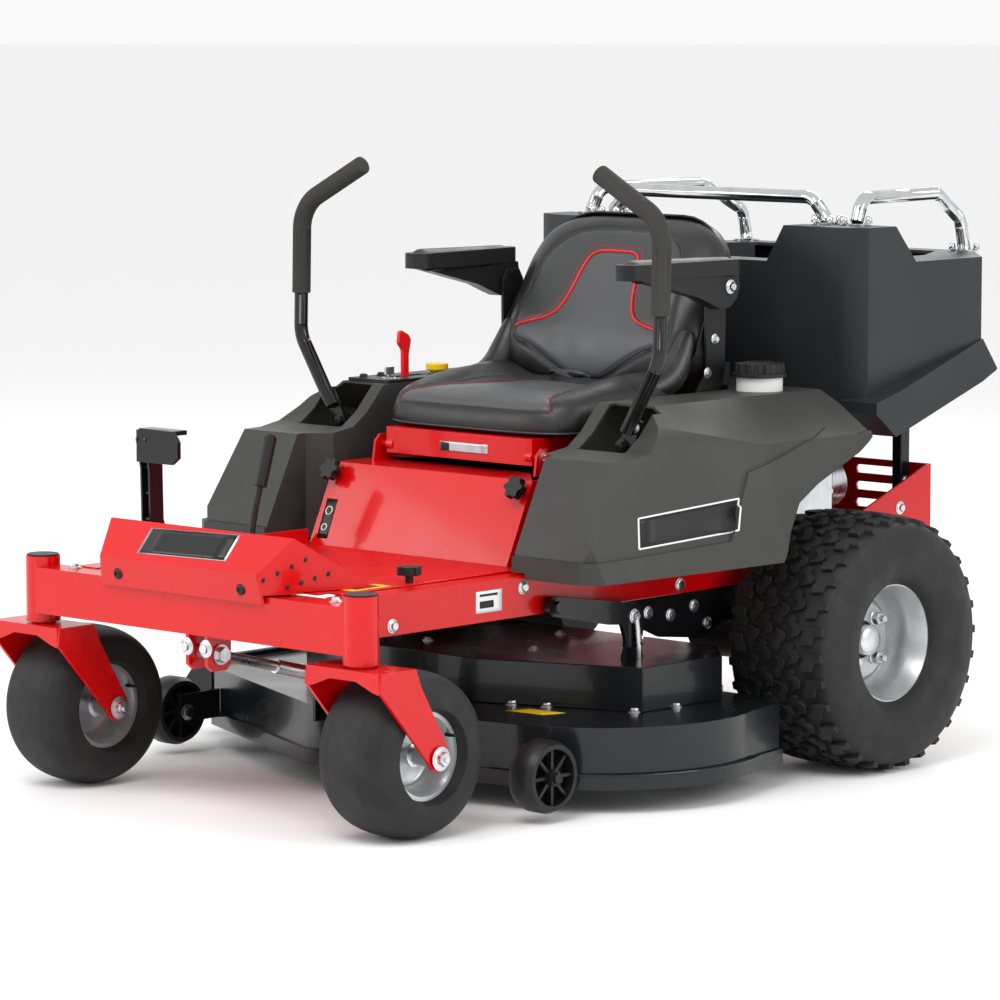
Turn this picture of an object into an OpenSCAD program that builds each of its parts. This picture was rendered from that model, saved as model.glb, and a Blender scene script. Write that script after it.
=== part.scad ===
// Zero turn mower with a 1.07 m deck and a rear cargo bed.
// The mower faces -Y, +X is the operator's left and the ground is Z = 0.
// Sub-parts are drawn with the rear axle at Y = 0 and moved back by axle_y,
// so that the finished mower is centred on the origin.

/* [Running gear] */
// Distance from the caster wheel axles to the rear axle
wheelbase = 1050; // [1000:10:1100]
// Rear tyre outside diameter
rear_tyre_d = 460; // [450:2:466]
// Rear tyre width
rear_tyre_w = 246; // [230:2:250]
// Rear wheel centre, measured from the middle of the mower
rear_wheel_x = 497; // [490:1:505]
// Caster tyre outside diameter
caster_tyre_d = 280; // [270:2:282]
// Caster tyre width
caster_tyre_w = 150; // [140:2:152]
// Caster pivot, measured from the middle of the mower
caster_x = 388; // [380:1:400]
// How far the caster axle trails behind its pivot
caster_trail = 93; // [85:1:95]

/* [Frame] */
// Outer face of the side rails, measured from the middle
rail_x = 330; // [326:1:332]
// Side rail height
rail_h = 70; // [60:1:72]
// Top of the side rails above the ground
rail_top = 394; // [392:1:396]

/* [Deck] */
// Blade length, tip to tip
blade_len = 500; // [480:2:504]
// Height of the deck's lower edge above the ground
deck_low = 42; // [38:1:46]
// Height of the deck's flat top above the ground
deck_top = 148; // [144:1:150]
// Top of the raised belt cover above the ground
cover_top = 226; // [220:1:230]

/* [Seat] */
// Seat cushion width
seat_w = 480; // [460:5:486]
// Height of the underside of the seat cushion
seat_low = 604; // [604:1:608]

/* [Cargo bed] */
// Overall height of the bed's side walls above the ground
bed_top = 955; // [950:1:960]
// Height of the lower rear wall above the ground
bed_ledge = 888; // [880:1:895]
// Height of the load floor above the ground
bed_floor = 745; // [742:1:760]
// Distance from the rear axle to the rear of the bed
bed_rear = 640; // [630:5:650]

/* [Hidden] */

red = "#d1121a";
charcoal = "#3a3b39";
bed_black = "#2a2d30";
black = "#1b1b1c";
steel = "#c3c7c9";
vinyl = "#222224";

// Places that several sub-parts share
axle_y = (wheelbase + caster_tyre_d / 2 - bed_rear) / 2;
rear_axle_z = rear_tyre_d / 2;
caster_pivot_y = -wheelbase - caster_trail;
caster_axle_z = caster_tyre_d / 2;
rail_low = rail_top - rail_h;
plate_top = rail_top + 6;
crank = [0, 200];
spindle_left = [300, -485];
spindle_right = [-234, -470];
lobe = [300, -470];
lever_pivot = [330, -448, 480];
lever_swing = [344, -455, 599];
pan_hinge = [183, -495, 571];
armrest_pivot = [285, -96, 856];
chute_hinge = [-536, -430, 152];
arm_pivot = [345, -633, 336];
cap_centre = [312, -44];
pedal_pivot = [-262, -960, 352];
brake_pivot = [-262, -770, 385];
link_pin = [30, -1144, 280];
link_end = [30, -862, 208];
scalp_left = [470, -794, 78];
scalp_right = [-498, -736, 78];
scalp_r = 62;

// ---------- shared shapes ----------

// Moves a sub-part from the rear axle to its place around the origin.
module at_axle() {
    translate([0, axle_y, 0]) children();
}

// Mirrors a left-hand sub-part to the right when side is -1.
module sided(side) {
    mirror([side < 0 ? 1 : 0, 0, 0]) children();
}

// Box between two opposite corners.
module block(a, b) {
    translate([min(a.x, b.x), min(a.y, b.y), min(a.z, b.z)])
        cube([abs(b.x - a.x), abs(b.y - a.y), abs(b.z - a.z)]);
}

// Round bar of radius r from a to b.
module rod(a, b, r) {
    d = b - a;
    translate(a)
        rotate([0, acos(d.z / norm(d)), atan2(d.y, d.x)])
            cylinder(h = norm(d), r = r, $fn = 48);
}

// Round bar along X, centred on p.
module rod_x(p, r, len) {
    translate(p) rotate([0, 90, 0]) cylinder(h = len, r = r, center = true, $fn = 48);
}

// Plate in the YZ plane, from x0 to x1.
module plate_x(x0, x1, pts) {
    translate([x0, 0, 0]) rotate([90, 0, 90]) linear_extrude(x1 - x0) polygon(pts);
}

// Plate in the XZ plane, from y0 to y1.
module plate_y(y0, y1, pts) {
    translate([0, y1, 0]) rotate([90, 0, 0]) linear_extrude(y1 - y0) polygon(pts);
}

// Plate in the XY plane, from z0 to z1.
module plate_z(z0, z1, pts) {
    translate([0, 0, z0]) linear_extrude(z1 - z0) polygon(pts);
}

// Hexagon head with a washer; the head points along +Z.
module hex_head(r) {
    cylinder(h = r * 0.25, r = r * 1.45, $fn = 32);
    translate([0, 0, r * 0.2]) cylinder(h = r * 0.85, r = r * 1.1, $fn = 6);
}

// Vector v at unit length.
function unit(v) = v / norm(v);

// Length that a bend of radius b takes from each leg at corner i of path p.
function bend_cut(p, i, b) =
    let (u = unit(p[i] - p[i - 1]), v = unit(p[i + 1] - p[i]), turn = acos(u * v))
    b * tan(turn / 2);

// Round tube of radius r along the points p, with bends of radius b.
module bent_tube(p, r, b) {
    last = len(p) - 1;
    for (i = [0 : last - 1]) {
        u = unit(p[i + 1] - p[i]);
        start = i == 0 ? p[0] : p[i] + u * bend_cut(p, i, b);
        end = i == last - 1 ? p[last] : p[i + 1] - u * bend_cut(p, i + 1, b);
        rod(start + 0.2 * u, end - 0.2 * u, r);
    }
    for (i = [1 : last - 1]) {
        u = unit(p[i] - p[i - 1]);
        v = unit(p[i + 1] - p[i]);
        n = unit(cross(u, v));
        a = -cross(n, u);
        s = p[i] - u * bend_cut(p, i, b);
        e = p[i] + v * bend_cut(p, i, b);
        c = s - a * b;
        // short collars join the straight lengths to the bend
        rod(s - u, s + u, r + 0.08);
        rod(e - v, e + v, r + 0.08);
        multmatrix([[a.x, u.x, n.x, c.x], [a.y, u.y, n.y, c.y], [a.z, u.z, n.z, c.z],
            [0, 0, 0, 1]])
            rotate_extrude(angle = acos(u * v), $fn = 64)
                translate([b, 0]) circle(r, $fn = 48);
    }
}

// ---------- frame ----------

bar_low = 312;
bar_high = 392;
tube_low = 296;
tube_high = 410;
stem_r = 12.5;

module front_crossbar() {
    color(red) difference() {
        union() {
            block([-caster_x, caster_pivot_y - 28, bar_low],
                [caster_x, caster_pivot_y + 28, bar_high]);
            for (s = [-1, 1])
                translate([s * caster_x, caster_pivot_y, tube_low])
                    cylinder(h = tube_high - tube_low, r = 30, $fn = 64);
            // clevis for the front lift link
            for (x = [link_pin.x - 27, link_pin.x + 19])
                plate_x(x, x + 8, [[-1172, bar_low + 2], [-1172, 262], [-1160, 252],
                    [-1128, 252], [-1118, 262], [-1118, bar_low + 2]]);
        }
        block([-caster_x + 45, caster_pivot_y - 24, bar_low + 4],
            [caster_x - 45, caster_pivot_y + 24, bar_high - 4]);
        for (s = [-1, 1]) {
            translate([s * caster_x, caster_pivot_y, tube_low - 1])
                cylinder(h = tube_high - tube_low - 7, r = stem_r + 0.05, $fn = 64);
            translate([s * caster_x, caster_pivot_y, tube_high - 10])
                cylinder(h = 11, r = 24, $fn = 64);
            translate([s * 200, caster_pivot_y, bar_low - 1]) cylinder(h = 6, r = 8, $fn = 32);
        }
        rod_x(link_pin, 8.05, 60);
    }
}

module caster_caps() {
    color(black) for (s = [-1, 1])
        translate([s * caster_x, caster_pivot_y, tube_high - 9]) {
            cylinder(h = 9, r = 23.8, $fn = 64);
            translate([0, 0, 9]) cylinder(h = 3, r = 28, $fn = 64);
        }
}

module frame_rail(side) {
    inner_x = rail_x - 50;
    p = lever_pivot;
    color(red) sided(side) {
        difference() {
            block([inner_x, caster_pivot_y + 28, rail_low], [rail_x, 300, rail_top]);
            block([inner_x + 3, caster_pivot_y + 31, rail_low + 3],
                [rail_x - 3, 301, rail_top - 3]);
            rod_x(arm_pivot, 8.05, 200);
        }
        // post and stub shaft of the steering lever
        plate_x(300, 308, [[p.y - 34, rail_top - 1], [p.y + 34, rail_top - 1],
            [p.y + 14, p.z + 18], [p.y - 14, p.z + 18]]);
        rod_x([331, p.y, p.z], 8, 50);
    }
}

module engine_plate() {
    color(red) difference() {
        block([-280, -40, rail_top], [280, 427.5, plate_top]);
        translate([crank.x, crank.y, rail_top - 1]) cylinder(h = 8, r = 48, $fn = 64);
        for (x = [-92, 92], y = [-92, 92])
            translate([crank.x + x, crank.y + y, rail_top - 1])
                cylinder(h = 8, r = 5.5, $fn = 32);
    }
}

guard_rear = 433;
hitch_z = 362;

module rear_guard() {
    side = [[190, rail_low + 4], [guard_rear, rail_low + 4], [guard_rear, 500],
        [guard_rear - 14, 498], [255, 437], [190, 412]];
    color(red) difference() {
        union() {
            plate_x(rail_x, rail_x + 5, side);
            plate_x(-rail_x - 5, -rail_x, side);
            block([-rail_x, guard_rear - 5, rail_low + 4], [rail_x, guard_rear, 500]);
        }
        for (x = [-210, -70, 70, 210], z = [415, 447, 479])
            translate([x, guard_rear + 1, z]) rotate([90, 0, 0]) {
                for (dx = [-42, 42]) translate([dx, 0, 0]) cylinder(h = 8, r = 8, $fn = 24);
                translate([-42, -8, 0]) cube([84, 16, 8]);
            }
        translate([0, guard_rear + 1, hitch_z]) rotate([90, 0, 0])
            cylinder(h = 8, r = 9.5, $fn = 48);
    }
}

module bed_struts() {
    color(black) for (s = [-1, 1], y = [176, 405]) {
        block([s * 274, y - 13, plate_top], [s * 296, y + 13, bed_floor - 6.5]);
        block([s * 258, y - 20, plate_top], [s * 312, y + 20, plate_top + 5]);
    }
}

// ---------- casters ----------

wheel_half = caster_tyre_w / 2;
leg_in = wheel_half + 5;
leg_t = 7;

module caster_fork(side) {
    py = caster_pivot_y;
    ay = py + caster_trail;
    leg = [[py - 40, tube_low - 3], [py - 43, 262], [ay - 24, caster_axle_z - 6],
        [ay - 17, caster_axle_z - 17], [ay, caster_axle_z - 24], [ay + 17, caster_axle_z - 17],
        [ay + 24, caster_axle_z], [ay + 22, caster_axle_z + 14], [py + 52, 262],
        [py + 40, tube_low - 3]];
    translate([side * caster_x, 0, 0]) {
        color(red) difference() {
            union() {
                block([-leg_in - leg_t, py - 40, tube_low - 11],
                    [leg_in + leg_t, py + 40, tube_low - 3]);
                for (x = [-leg_in - leg_t, leg_in]) plate_x(x, x + leg_t, leg);
                plate_y(py - 43, py - 38, [[-leg_in - 2, tube_low - 3], [-leg_in - 2, 258],
                    [-leg_in + 14, 262], [-30, 276], [30, 276], [leg_in - 14, 262],
                    [leg_in + 2, 258], [leg_in + 2, tube_low - 3]]);
                translate([0, py, tube_low - 5])
                    cylinder(h = tube_high - tube_low - 6, r = stem_r, $fn = 64);
                translate([0, py, tube_low - 5]) cylinder(h = 4, r = 22, $fn = 64);
            }
            rod_x([0, ay, caster_axle_z], 8, 2 * leg_in + 40);
        }
        color(steel) {
            rod_x([0, ay, caster_axle_z], 7.95, 2 * (leg_in + leg_t) + 12);
            for (s = [-1, 1])
                translate([s * (leg_in + leg_t + 0.2), ay, caster_axle_z])
                    rotate([0, s * 90, 0]) hex_head(11);
        }
    }
}

// Rim turned about Z: bead radius, flange radius, half width, hub bore, disc height.
module rim_barrel(bead, flange, half, drop) {
    outer = [[flange, half], [flange, half - 3], [bead + 4, half - 4], [bead, half - 9],
        [bead, half - 24], [bead - drop, half - 34], [bead - drop, 34 - half],
        [bead, 24 - half], [bead, 9 - half], [bead + 4, 4 - half], [flange, 3 - half],
        [flange, -half]];
    inner = [[bead + 1, -half], [bead - 4, 9 - half], [bead - drop - 4, 36 - half],
        [bead - drop - 4, half - 36], [bead - 4, half - 9], [bead + 1, half]];
    rotate_extrude($fn = 96) polygon(concat(outer, inner));
}

module caster_rim(side) {
    translate([side * caster_x, caster_pivot_y + caster_trail, caster_axle_z])
        rotate([0, 90, 0]) color(steel) {
            rim_barrel(66, 76, 56, 8);
                rotate_extrude($fn = 64)
                    polygon([[8.02, -70], [16, -70], [16, -9], [50, -9], [57, -14], [57, 14],
                        [50, 9], [16, 9], [16, 70], [8.02, 70]]);
        }
}

// Tyre section: crown radius, half width, bead seat radius, rim flange radius,
// rim half width, wall and crown shape; the inside is open at the bead.
module tyre_ring(r, half, bead, flange, rim_half, wall, crown) {
    lip = flange + 0.8;
    function bulge(a, w) = let (k = pow(abs(cos(a)), crown),
            s = sign(a) * pow(abs(sin(a)), 0.8))
        [lip + (r - w - lip) * k, (half - w * 0.7) * s];
    outer = [for (a = [-90, -76, -60, -40, -20, 0, 20, 40, 60, 76, 90]) bulge(a, 0)];
    inner = [for (a = [76, 45, 0, -45, -76]) bulge(a, wall)];
    rotate_extrude($fn = 96)
        polygon(concat([[bead + 0.3, 9.4 - rim_half], [bead + 4.6, 4.4 - rim_half],
                [lip, 3.4 - rim_half]], outer, [[lip, rim_half - 3.4],
                [bead + 4.6, rim_half - 4.4], [bead + 0.3, rim_half - 9.4],
                [bead + 0.3, rim_half - 20]], inner, [[bead + 0.3, 20 - rim_half]]));
}

module caster_tyre(side) {
    color(black)
        translate([side * caster_x, caster_pivot_y + caster_trail, caster_axle_z])
            rotate([0, 90, 0])
                tyre_ring(caster_tyre_d / 2, wheel_half, 66, 76, 56, 10, 0.42);
}

// ---------- drive wheels ----------

disc_x = rear_wheel_x + 18;

module transaxles() {
    color(black) for (s = [-1, 1]) sided(s) difference() {
        union() {
            rod_x([226, 0, rear_axle_z], 62, 140);
            rod_x([365, 0, rear_axle_z], 30, 190);
            translate([232, -20, rear_axle_z]) cylinder(h = rail_low - rear_axle_z, r = 46, $fn = 64);
            block([270, -42, rear_axle_z + 20], [292, 42, rail_low]);
        }
        rod_x([350, 0, rear_axle_z], stem_r + 0.05, 300);
    }
}

module rear_hub(side) {
    color(black) sided(side) {
        rod_x([(230 + disc_x) / 2, 0, rear_axle_z], stem_r, disc_x - 230);
        rod_x([disc_x - 14, 0, rear_axle_z], 30, 22);
        rod_x([disc_x - 6.7, 0, rear_axle_z], 64, 9);
        rod_x([disc_x + 10, 0, rear_axle_z], 26, 24);
        for (a = [45 : 90 : 315])
            translate([disc_x - 6, 50 * cos(a), rear_axle_z + 50 * sin(a)])
                rotate([0, 90, 0]) {
                    cylinder(h = 28, r = 6, $fn = 24);
                    translate([0, 0, 8.7]) cylinder(h = 12, r = 10.5, $fn = 6);
                }
    }
}

module rear_rim(side) {
    color(steel) sided(side)
        translate([rear_wheel_x, 0, rear_axle_z]) rotate([0, 90, 0]) {
            rim_barrel(102, 116, 88, 13);
            difference() {
                rotate_extrude($fn = 96)
                    polygon([[34, 16], [68, 16], [76, 10], [90, 10], [90, 15], [78, 15],
                        [69, 20.5], [34, 20.5]]);
                for (a = [45 : 90 : 315])
                    translate([50 * cos(a), 50 * sin(a), 5]) cylinder(h = 30, r = 6.3, $fn = 24);
            }
        }
}

module rear_tyre(side) {
    color(black) sided(side)
        translate([rear_wheel_x, 0, rear_axle_z]) rotate([0, 90, 0])
            tyre_ring(rear_tyre_d / 2, rear_tyre_w / 2, 102, 116, 88, 13, 0.22);
}

// ---------- floor and seat box ----------

module floor_pan() {
    color(red) difference() {
        union() {
            block([-284, -1112, rail_top], [284, -636, rail_top + 3]);
            // upstand that carries the foot controls on the operator's right
            plate_x(-246, -242, [[-1000, rail_top], [-640, rail_top], [-640, 424],
                [-880, 424], [-1000, 404]]);
        }
        for (s = [-1, 1]) block([s * 285, -1113, rail_top - 1], [s * 256, -1084, rail_top + 4]);
        // gap beside the upstand for the pedal and the brake lever
        block([-285, -1040, rail_top - 1], [-246, -700, rail_top + 4]);
    }
}

cowl_front = -1180;

// Outline of the cowl seen from above, made narrower by t on each side.
function cowl_flare(t) = let (w = [172, 187, 223, 272], y = [-1197, -1195, -1132, -996])
    concat([for (i = [0 : 3]) [w[i] - t, y[i]]], [for (i = [3 : -1 : 0]) [t - w[i], y[i]]]);

module foot_cowl() {
    f = cowl_front;
    panels = [[f, 380], [f - 9, 430], [-1132, 488], [-1000, 402], [-1000, 398],
        [-1004, 398], [-1131, 483], [f - 4.5, 429], [f + 4, 380]];
    cheek = [[f, 395], [f - 9, 430], [-1132, 488], [-1000, 402], [-1000, 398],
        [-1115, 398], [-1118, 395]];
    color(red) difference() {
        union() {
            intersection() {
                plate_x(-300, 300, panels);
                plate_z(370, 500, cowl_flare(0));
            }
            intersection() {
                plate_x(-300, 300, cheek);
                difference() {
                    plate_z(371, 499, cowl_flare(0));
                    plate_z(370, 500, cowl_flare(4));
                }
            }
        }
        for (x = [-150, 150]) translate([x, f - 12, 405]) rotate([-90, 0, 0])
            cylinder(h = 20, r = 5, $fn = 24);
        // clearance for the lift pedal
        block([-300, -1046, 380], [-242, -980, 440]);
    }
}

box_w = 242;

module seat_box() {
    front = [[-634, rail_top + 3], [-570, 536], [-500, 536], [-500, 540], [-572, 540],
        [-638, rail_top + 3]];
    side = [[-638, rail_top + 3], [-572, 540], [-60, 540], [-60, plate_top + 3],
        [-100, rail_top + 3]];
    color(red) difference() {
        union() {
            plate_x(-box_w, box_w, front);
            for (x = [-box_w, box_w - 4]) plate_x(x, x + 4, side);
            block([-box_w, -504, 536], [box_w, -470, 540]);
            block([-box_w, -80, 536], [box_w, -60, 540]);
            // ears of the seat hinge
            for (s = [-1, 1]) sided(s) {
                plate_x(pan_hinge.x + 12, pan_hinge.x + 17, [[-520, 538], [-470, 538],
                    [-476, 578], [-488, 588], [-502, 588], [-514, 576]]);
            }
        }
        rod_x(pan_hinge, 6.05, 2 * pan_hinge.x + 600);
    }
}

module star_knob() {
    cylinder(h = 13, r = 7, $fn = 24);
    translate([0, 0, 12]) difference() {
        cylinder(h = 15, r = 21, $fn = 48);
        for (a = [30 : 60 : 330]) rotate([0, 0, a]) translate([23.5, 0, -1])
            cylinder(h = 17, r = 7.5, $fn = 24);
    }
}

module panel_knobs() {
    color(black) {
        for (x = [-226, 226]) translate([x, -581.6, 521]) rotate([65, 0, 0]) star_knob();
        translate([262, -900, rail_top + 3]) star_knob();
    }
}

// ---------- seat ----------

module seat_pan() {
    half = 178;
    color(red) difference() {
        union() {
            block([-half, -500, seat_low - 5], [half, -90, seat_low - 1]);
            block([-half, -504, 556], [half, -500, seat_low - 1]);
            for (x = [-half, half - 4]) plate_x(x, x + 4, [[-504, 556], [-504, seat_low - 1],
                [-90, seat_low - 1], [-90, 580], [-440, 556]]);
            for (x = [-half, half - 16]) rod_x([x + 8, pan_hinge.y, pan_hinge.z], 12, 16);
        }
        rod_x(pan_hinge, 6.05, 2 * pan_hinge.x + 600);
    }
    color(steel) for (s = [-1, 1]) sided(s) {
        rod_x([pan_hinge.x, pan_hinge.y, pan_hinge.z], 6, 44);
        translate([pan_hinge.x + 18, pan_hinge.y, pan_hinge.z]) rotate([0, 90, 0]) hex_head(9);
    }
}

module seat_base() {
    half = seat_w / 2;
    color(vinyl) hull() {
        for (s = [-1, 1]) {
            translate([s * (half - 75), -425, seat_low]) cylinder(h = 56, r = 70, $fn = 32);
            translate([s * (half - 50), -245, seat_low]) cylinder(h = 96, r = 50, $fn = 32);
            translate([s * (half - 55), -192, seat_low]) cylinder(h = 74, r = 50, $fn = 32);
        }
        translate([0, -330, seat_low]) cylinder(h = 56, r = 172, $fn = 32);
    }
}

// Leaning frame of the backrest: X across, Y through the cushion, Z up the lean.
module back_lean() {
    translate([0, -118, seat_low + 86]) rotate([-26, 0, 0]) children();
}

module seat_back() {
    half = seat_w / 2;
    color(vinyl) back_lean() hull() {
        for (s = [-1, 1]) {
            translate([s * (half - 115), -74, 40]) rotate([-90, 0, 0])
                cylinder(h = 20, r = 46, $fn = 32);
            translate([s * (half - 160), -66, 190]) rotate([-90, 0, 0])
                cylinder(h = 20, r = 92, $fn = 32);
            translate([s * (half - 50), -38, 36]) rotate([-90, 0, 0])
                cylinder(h = 30, r = 46, $fn = 32);
            translate([s * (half - 140), -36, 178]) rotate([-90, 0, 0])
                cylinder(h = 24, r = 120, $fn = 32);
        }
    }
}

module seat_shell() {
    half = seat_w / 2 + 4;
    color(black) {
        back_lean() difference() {
            hull() for (s = [-1, 1]) {
                translate([s * (half - 50), -40, 36]) rotate([-90, 0, 0])
                    cylinder(h = 56, r = 50, $fn = 32);
                translate([s * (half - 140), -30, 176]) rotate([-90, 0, 0])
                    cylinder(h = 34, r = 127, $fn = 32);
            }
            hull() for (s = [-1, 1]) {
                translate([s * (half - 50), -76, 36]) rotate([-90, 0, 0])
                    cylinder(h = 84, r = 47, $fn = 32);
                translate([s * (half - 140), -66, 176]) rotate([-90, 0, 0])
                    cylinder(h = 60, r = 123.5, $fn = 32);
            }
        }
        // brackets between seat pan, shell and armrests
        for (s = [-1, 1]) sided(s) difference() {
            union() {
                plate_x(246, 252, [[-205, seat_low - 8], [-100, seat_low - 8], [-70, 700], [-66, 846],
                    [-78, 866], [-110, 866], [-122, 846], [-120, 700]]);
                block([179, -205, seat_low - 8], [252, -100, seat_low - 2]);
            }
            rod_x(armrest_pivot, 6.05, 200);
        }
    }
}

module armrest(side) {
    p = armrest_pivot;
    color(black) sided(side) difference() {
        union() {
            // padded top
            translate([0, 0, p.z + 21]) linear_extrude(28) hull() {
                translate([p.x - 27, -335]) circle(26, $fn = 48);
                translate([p.x - 10, p.y + 10]) circle(20, $fn = 48);
            }
            // tapering shell below the pad
            plate_x(p.x - 30, p.x, [[p.y - 244, p.z + 22], [p.y - 84, p.z - 16],
                [p.y - 44, p.z - 32], [p.y - 22, p.z - 40], [p.y + 2, p.z - 36],
                [p.y + 20, p.z - 22], [p.y + 28, p.z], [p.y + 25, p.z + 22]]);
        }
        rod_x(p, 6.05, 200);
    }
    color(steel) sided(side) {
        rod_x([p.x - 19, p.y, p.z], 6, 44);
        translate([p.x + 0.3, p.y, p.z]) rotate([0, 90, 0]) hex_head(8);
    }
}

// ---------- fenders and console ----------

pod_in = 262;
pod_high = 668;
pod_step = 588;

// Slice across a fender at y: the widths are those of its belt line and its foot,
// and s draws the outer side inwards.
module pod_slice(y, belt, foot, s, t) {
    translate([0, y, 0]) rotate([90, 0, 0]) linear_extrude(1) offset(delta = -t)
        polygon([[pod_in, 300], [pod_in, 690], [345, 690], [352, pod_high], [belt - s, 597],
            [foot - s - 9, 428], [foot - s, 393], [foot - s, 300]]);
}

// Solid form of a fender with its outer side drawn inwards by s and every face by t;
// t > 0 also opens the underside.
module pod_form(s, t) {
    arch = [[60, 588], [46, 580], [14, 565], [-40, 548], [-126, 520], [-190, 492],
        [-232, 445], [-258, 402], [-264, 396]];
    f = -692 + s;
    top = [[f, 388], [f + 2, 430], [-650 + s, 512], [-606, pod_step], [-560, pod_step],
        [-505, 596], [-470, 620], [-425, pod_high], [48, pod_high], [60, 642]];
    side = t > 0 ? concat([[f, 320]], top, [[60, 320]]) : concat(top, arch);
    plan = [[pod_in, 60], [pod_in, -556], [303, -586], [303, f], [458, f], [484 - s, f + 18],
        [600, -560], [600, 60]];
    intersection() {
        translate([200, 0, 0]) rotate([90, 0, 90]) linear_extrude(400)
            offset(delta = -t) polygon(side);
        translate([0, 0, 300]) linear_extrude(400) offset(delta = -t) polygon(plan);
        hull() {
            pod_slice(-700, 431, 488, s, t);
            pod_slice(-250, 498, 556, s, t);
            pod_slice(61, 488, 540, s, t);
        }
    }
}

module fender(side) {
    color(charcoal) sided(side) difference() {
        union() {
            pod_form(7, 0);
            // raised band along the foot and over the wheel arch
            intersection() {
                pod_form(0, 0);
                plate_x(250, 600, [[-710, 360], [-710, 424], [-600, 428], [-372, 440],
                    [-300, 553], [-45, 612], [20, 596], [70, 600], [70, 360]]);
            }
            // console box on the operator's right
            if (side < 0) block([pod_in, -412, 540], [378, -56, pod_high]);
        }
        pod_form(7, 4);
        if (side < 0) block([pod_in + 4, -408, 530], [374, -60, pod_high - 4]);
        // slot that the steering lever swings in
        block([290, -512, 520], [398, -412, 700]);
        // clearance over the side rail and the floor
        block([250, -720, 370], [334, 100, 398.5]);
        if (side > 0) translate([cap_centre.x, cap_centre.y, 600])
            cylinder(h = 100, r = 44, $fn = 64);
        else block([280, -398, 600], [366, -70, 700]);
    }
}

console = [[-372, -406], [-268, -406], [-268, -62], [-372, -62]];
console_z = pod_high + 0.2;
throttle_pivot = [-318, -312, console_z - 10];
knob_at = [-318, -226];
key_at = [-292, -380];

module console_panel() {
    color(black) difference() {
        plate_z(console_z, console_z + 6, console);
        block([-328, -347, console_z - 1], [-308, -262, console_z + 8]);
        translate([knob_at.x, knob_at.y, console_z - 1]) cylinder(h = 9, r = 6.1, $fn = 32);
        translate([key_at.x, key_at.y, console_z - 1]) cylinder(h = 9, r = 9.1, $fn = 32);
    }
}

module throttle_lever() {
    p = throttle_pivot;
    color(red) plate_x(p.x - 4, p.x + 4, [[p.y - 8, p.z], [p.y + 8, p.z], [p.y + 8, p.z + 54],
        [p.y + 14, p.z + 82], [p.y + 8, p.z + 92], [p.y - 10, p.z + 101], [p.y - 17, p.z + 98],
        [p.y - 20, p.z + 78], [p.y - 9, p.z + 64]]);
}

module pto_knob() {
    color("#e8c31a") translate([knob_at.x, knob_at.y, console_z]) {
        translate([0, 0, -24]) cylinder(h = 34, r = 6, $fn = 32);
        translate([0, 0, 9]) cylinder(h = 4, r = 15, $fn = 48);
        translate([0, 0, 12]) cylinder(h = 12, r = 21, $fn = 48);
    }
}

module ignition_key() {
    color(steel) translate([key_at.x, key_at.y, console_z]) {
        translate([0, 0, -20]) cylinder(h = 27, r = 9, $fn = 32);
        translate([-1.5, -4, 6]) cube([3, 8, 10]);
        translate([-2.5, -11, 14]) cube([5, 22, 14]);
    }
}

module fuel_tank() {
    color("#e9e9e4") difference() {
        union() {
            block([270, -230, 490], [366, 30, 645]);
            translate([cap_centre.x, cap_centre.y, 640]) cylinder(h = 52, r = 42, $fn = 64);
        }
        translate([cap_centre.x, cap_centre.y, 664]) cylinder(h = 60, r = 36, $fn = 64);
    }
}

module fuel_cap() {
    color(black) translate([cap_centre.x, cap_centre.y, 693]) difference() {
        union() {
            cylinder(h = 6, r = 50, $fn = 64);
            translate([0, 0, 6]) cylinder(h = 18, r = 45, $fn = 64);
            translate([0, 0, -24]) cylinder(h = 25, r = 35.5, $fn = 64);
        }
        for (a = [0 : 45 : 315]) rotate([0, 0, a]) translate([49, 0, 7])
            cylinder(h = 20, r = 9, $fn = 24);
        translate([0, 0, -25]) cylinder(h = 22, r = 31, $fn = 64);
    }
}

// ---------- steering levers ----------

module lever_mount(side) {
    p = lever_pivot;
    q = lever_swing;
    color(black) sided(side) difference() {
        union() {
            rod_x([p.x + 2, p.y, p.z], 17, 34);
            // flat bracket that rises to the swing pivot
            plate_y(-446, -438, [[p.x - 15, p.z], [p.x + 17, p.z], [q.x + 12, q.z - 16],
                [q.x + 14, q.z + 4], [q.x + 4, q.z + 14], [q.x - 10, q.z + 12],
                [q.x - 14, q.z - 4], [p.x - 15, p.z + 40]]);
        }
        rod_x(p, 8.05, 200);
        rod([q.x, -470, q.z], [q.x, -430, q.z], 6.05);
    }
    // pivot stud of the swing joint
    color(steel) sided(side) {
        rod([q.x, -455, q.z], [q.x, -434, q.z], 6);
        translate([q.x, -454, q.z]) rotate([90, 0, 0]) hex_head(9);
    }
}

lever_r = 12.7;
lever_path = [[360, -460, 626], [438, -463, 753], [438, -458, 990], [290, -451, 1068]];

module steering_lever(side) {
    p = lever_path;
    q = lever_swing;
    color(black) sided(side) {
        bent_tube([p[0], p[1], p[2], p[3] + [20, 0, -10]], lever_r, 70);
        // slotted foot that is bolted to the mount
        difference() {
            plate_y(-453, -447, [[q.x - 22, q.z - 40], [q.x + 4, q.z - 46], [q.x + 20, q.z - 10],
                [q.x + 44, q.z + 44], [q.x + 22, q.z + 56], [q.x - 4, q.z + 14]]);
            rod([q.x, -470, q.z], [q.x, -430, q.z], 6.05);
        }
    }
}

grip_r = 17;

module lever_grip(side) {
    p = lever_path;
    foot = p[1] + 0.325 * (p[2] - p[1]);
    color("#343534") sided(side) difference() {
        bent_tube([foot, p[2], p[3]], grip_r, 70);
        bent_tube([foot - unit(p[2] - p[1]), p[2], p[3] + [20, 0, -10]], lever_r + 0.3, 70);
    }
}

// ---------- foot controls ----------

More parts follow.
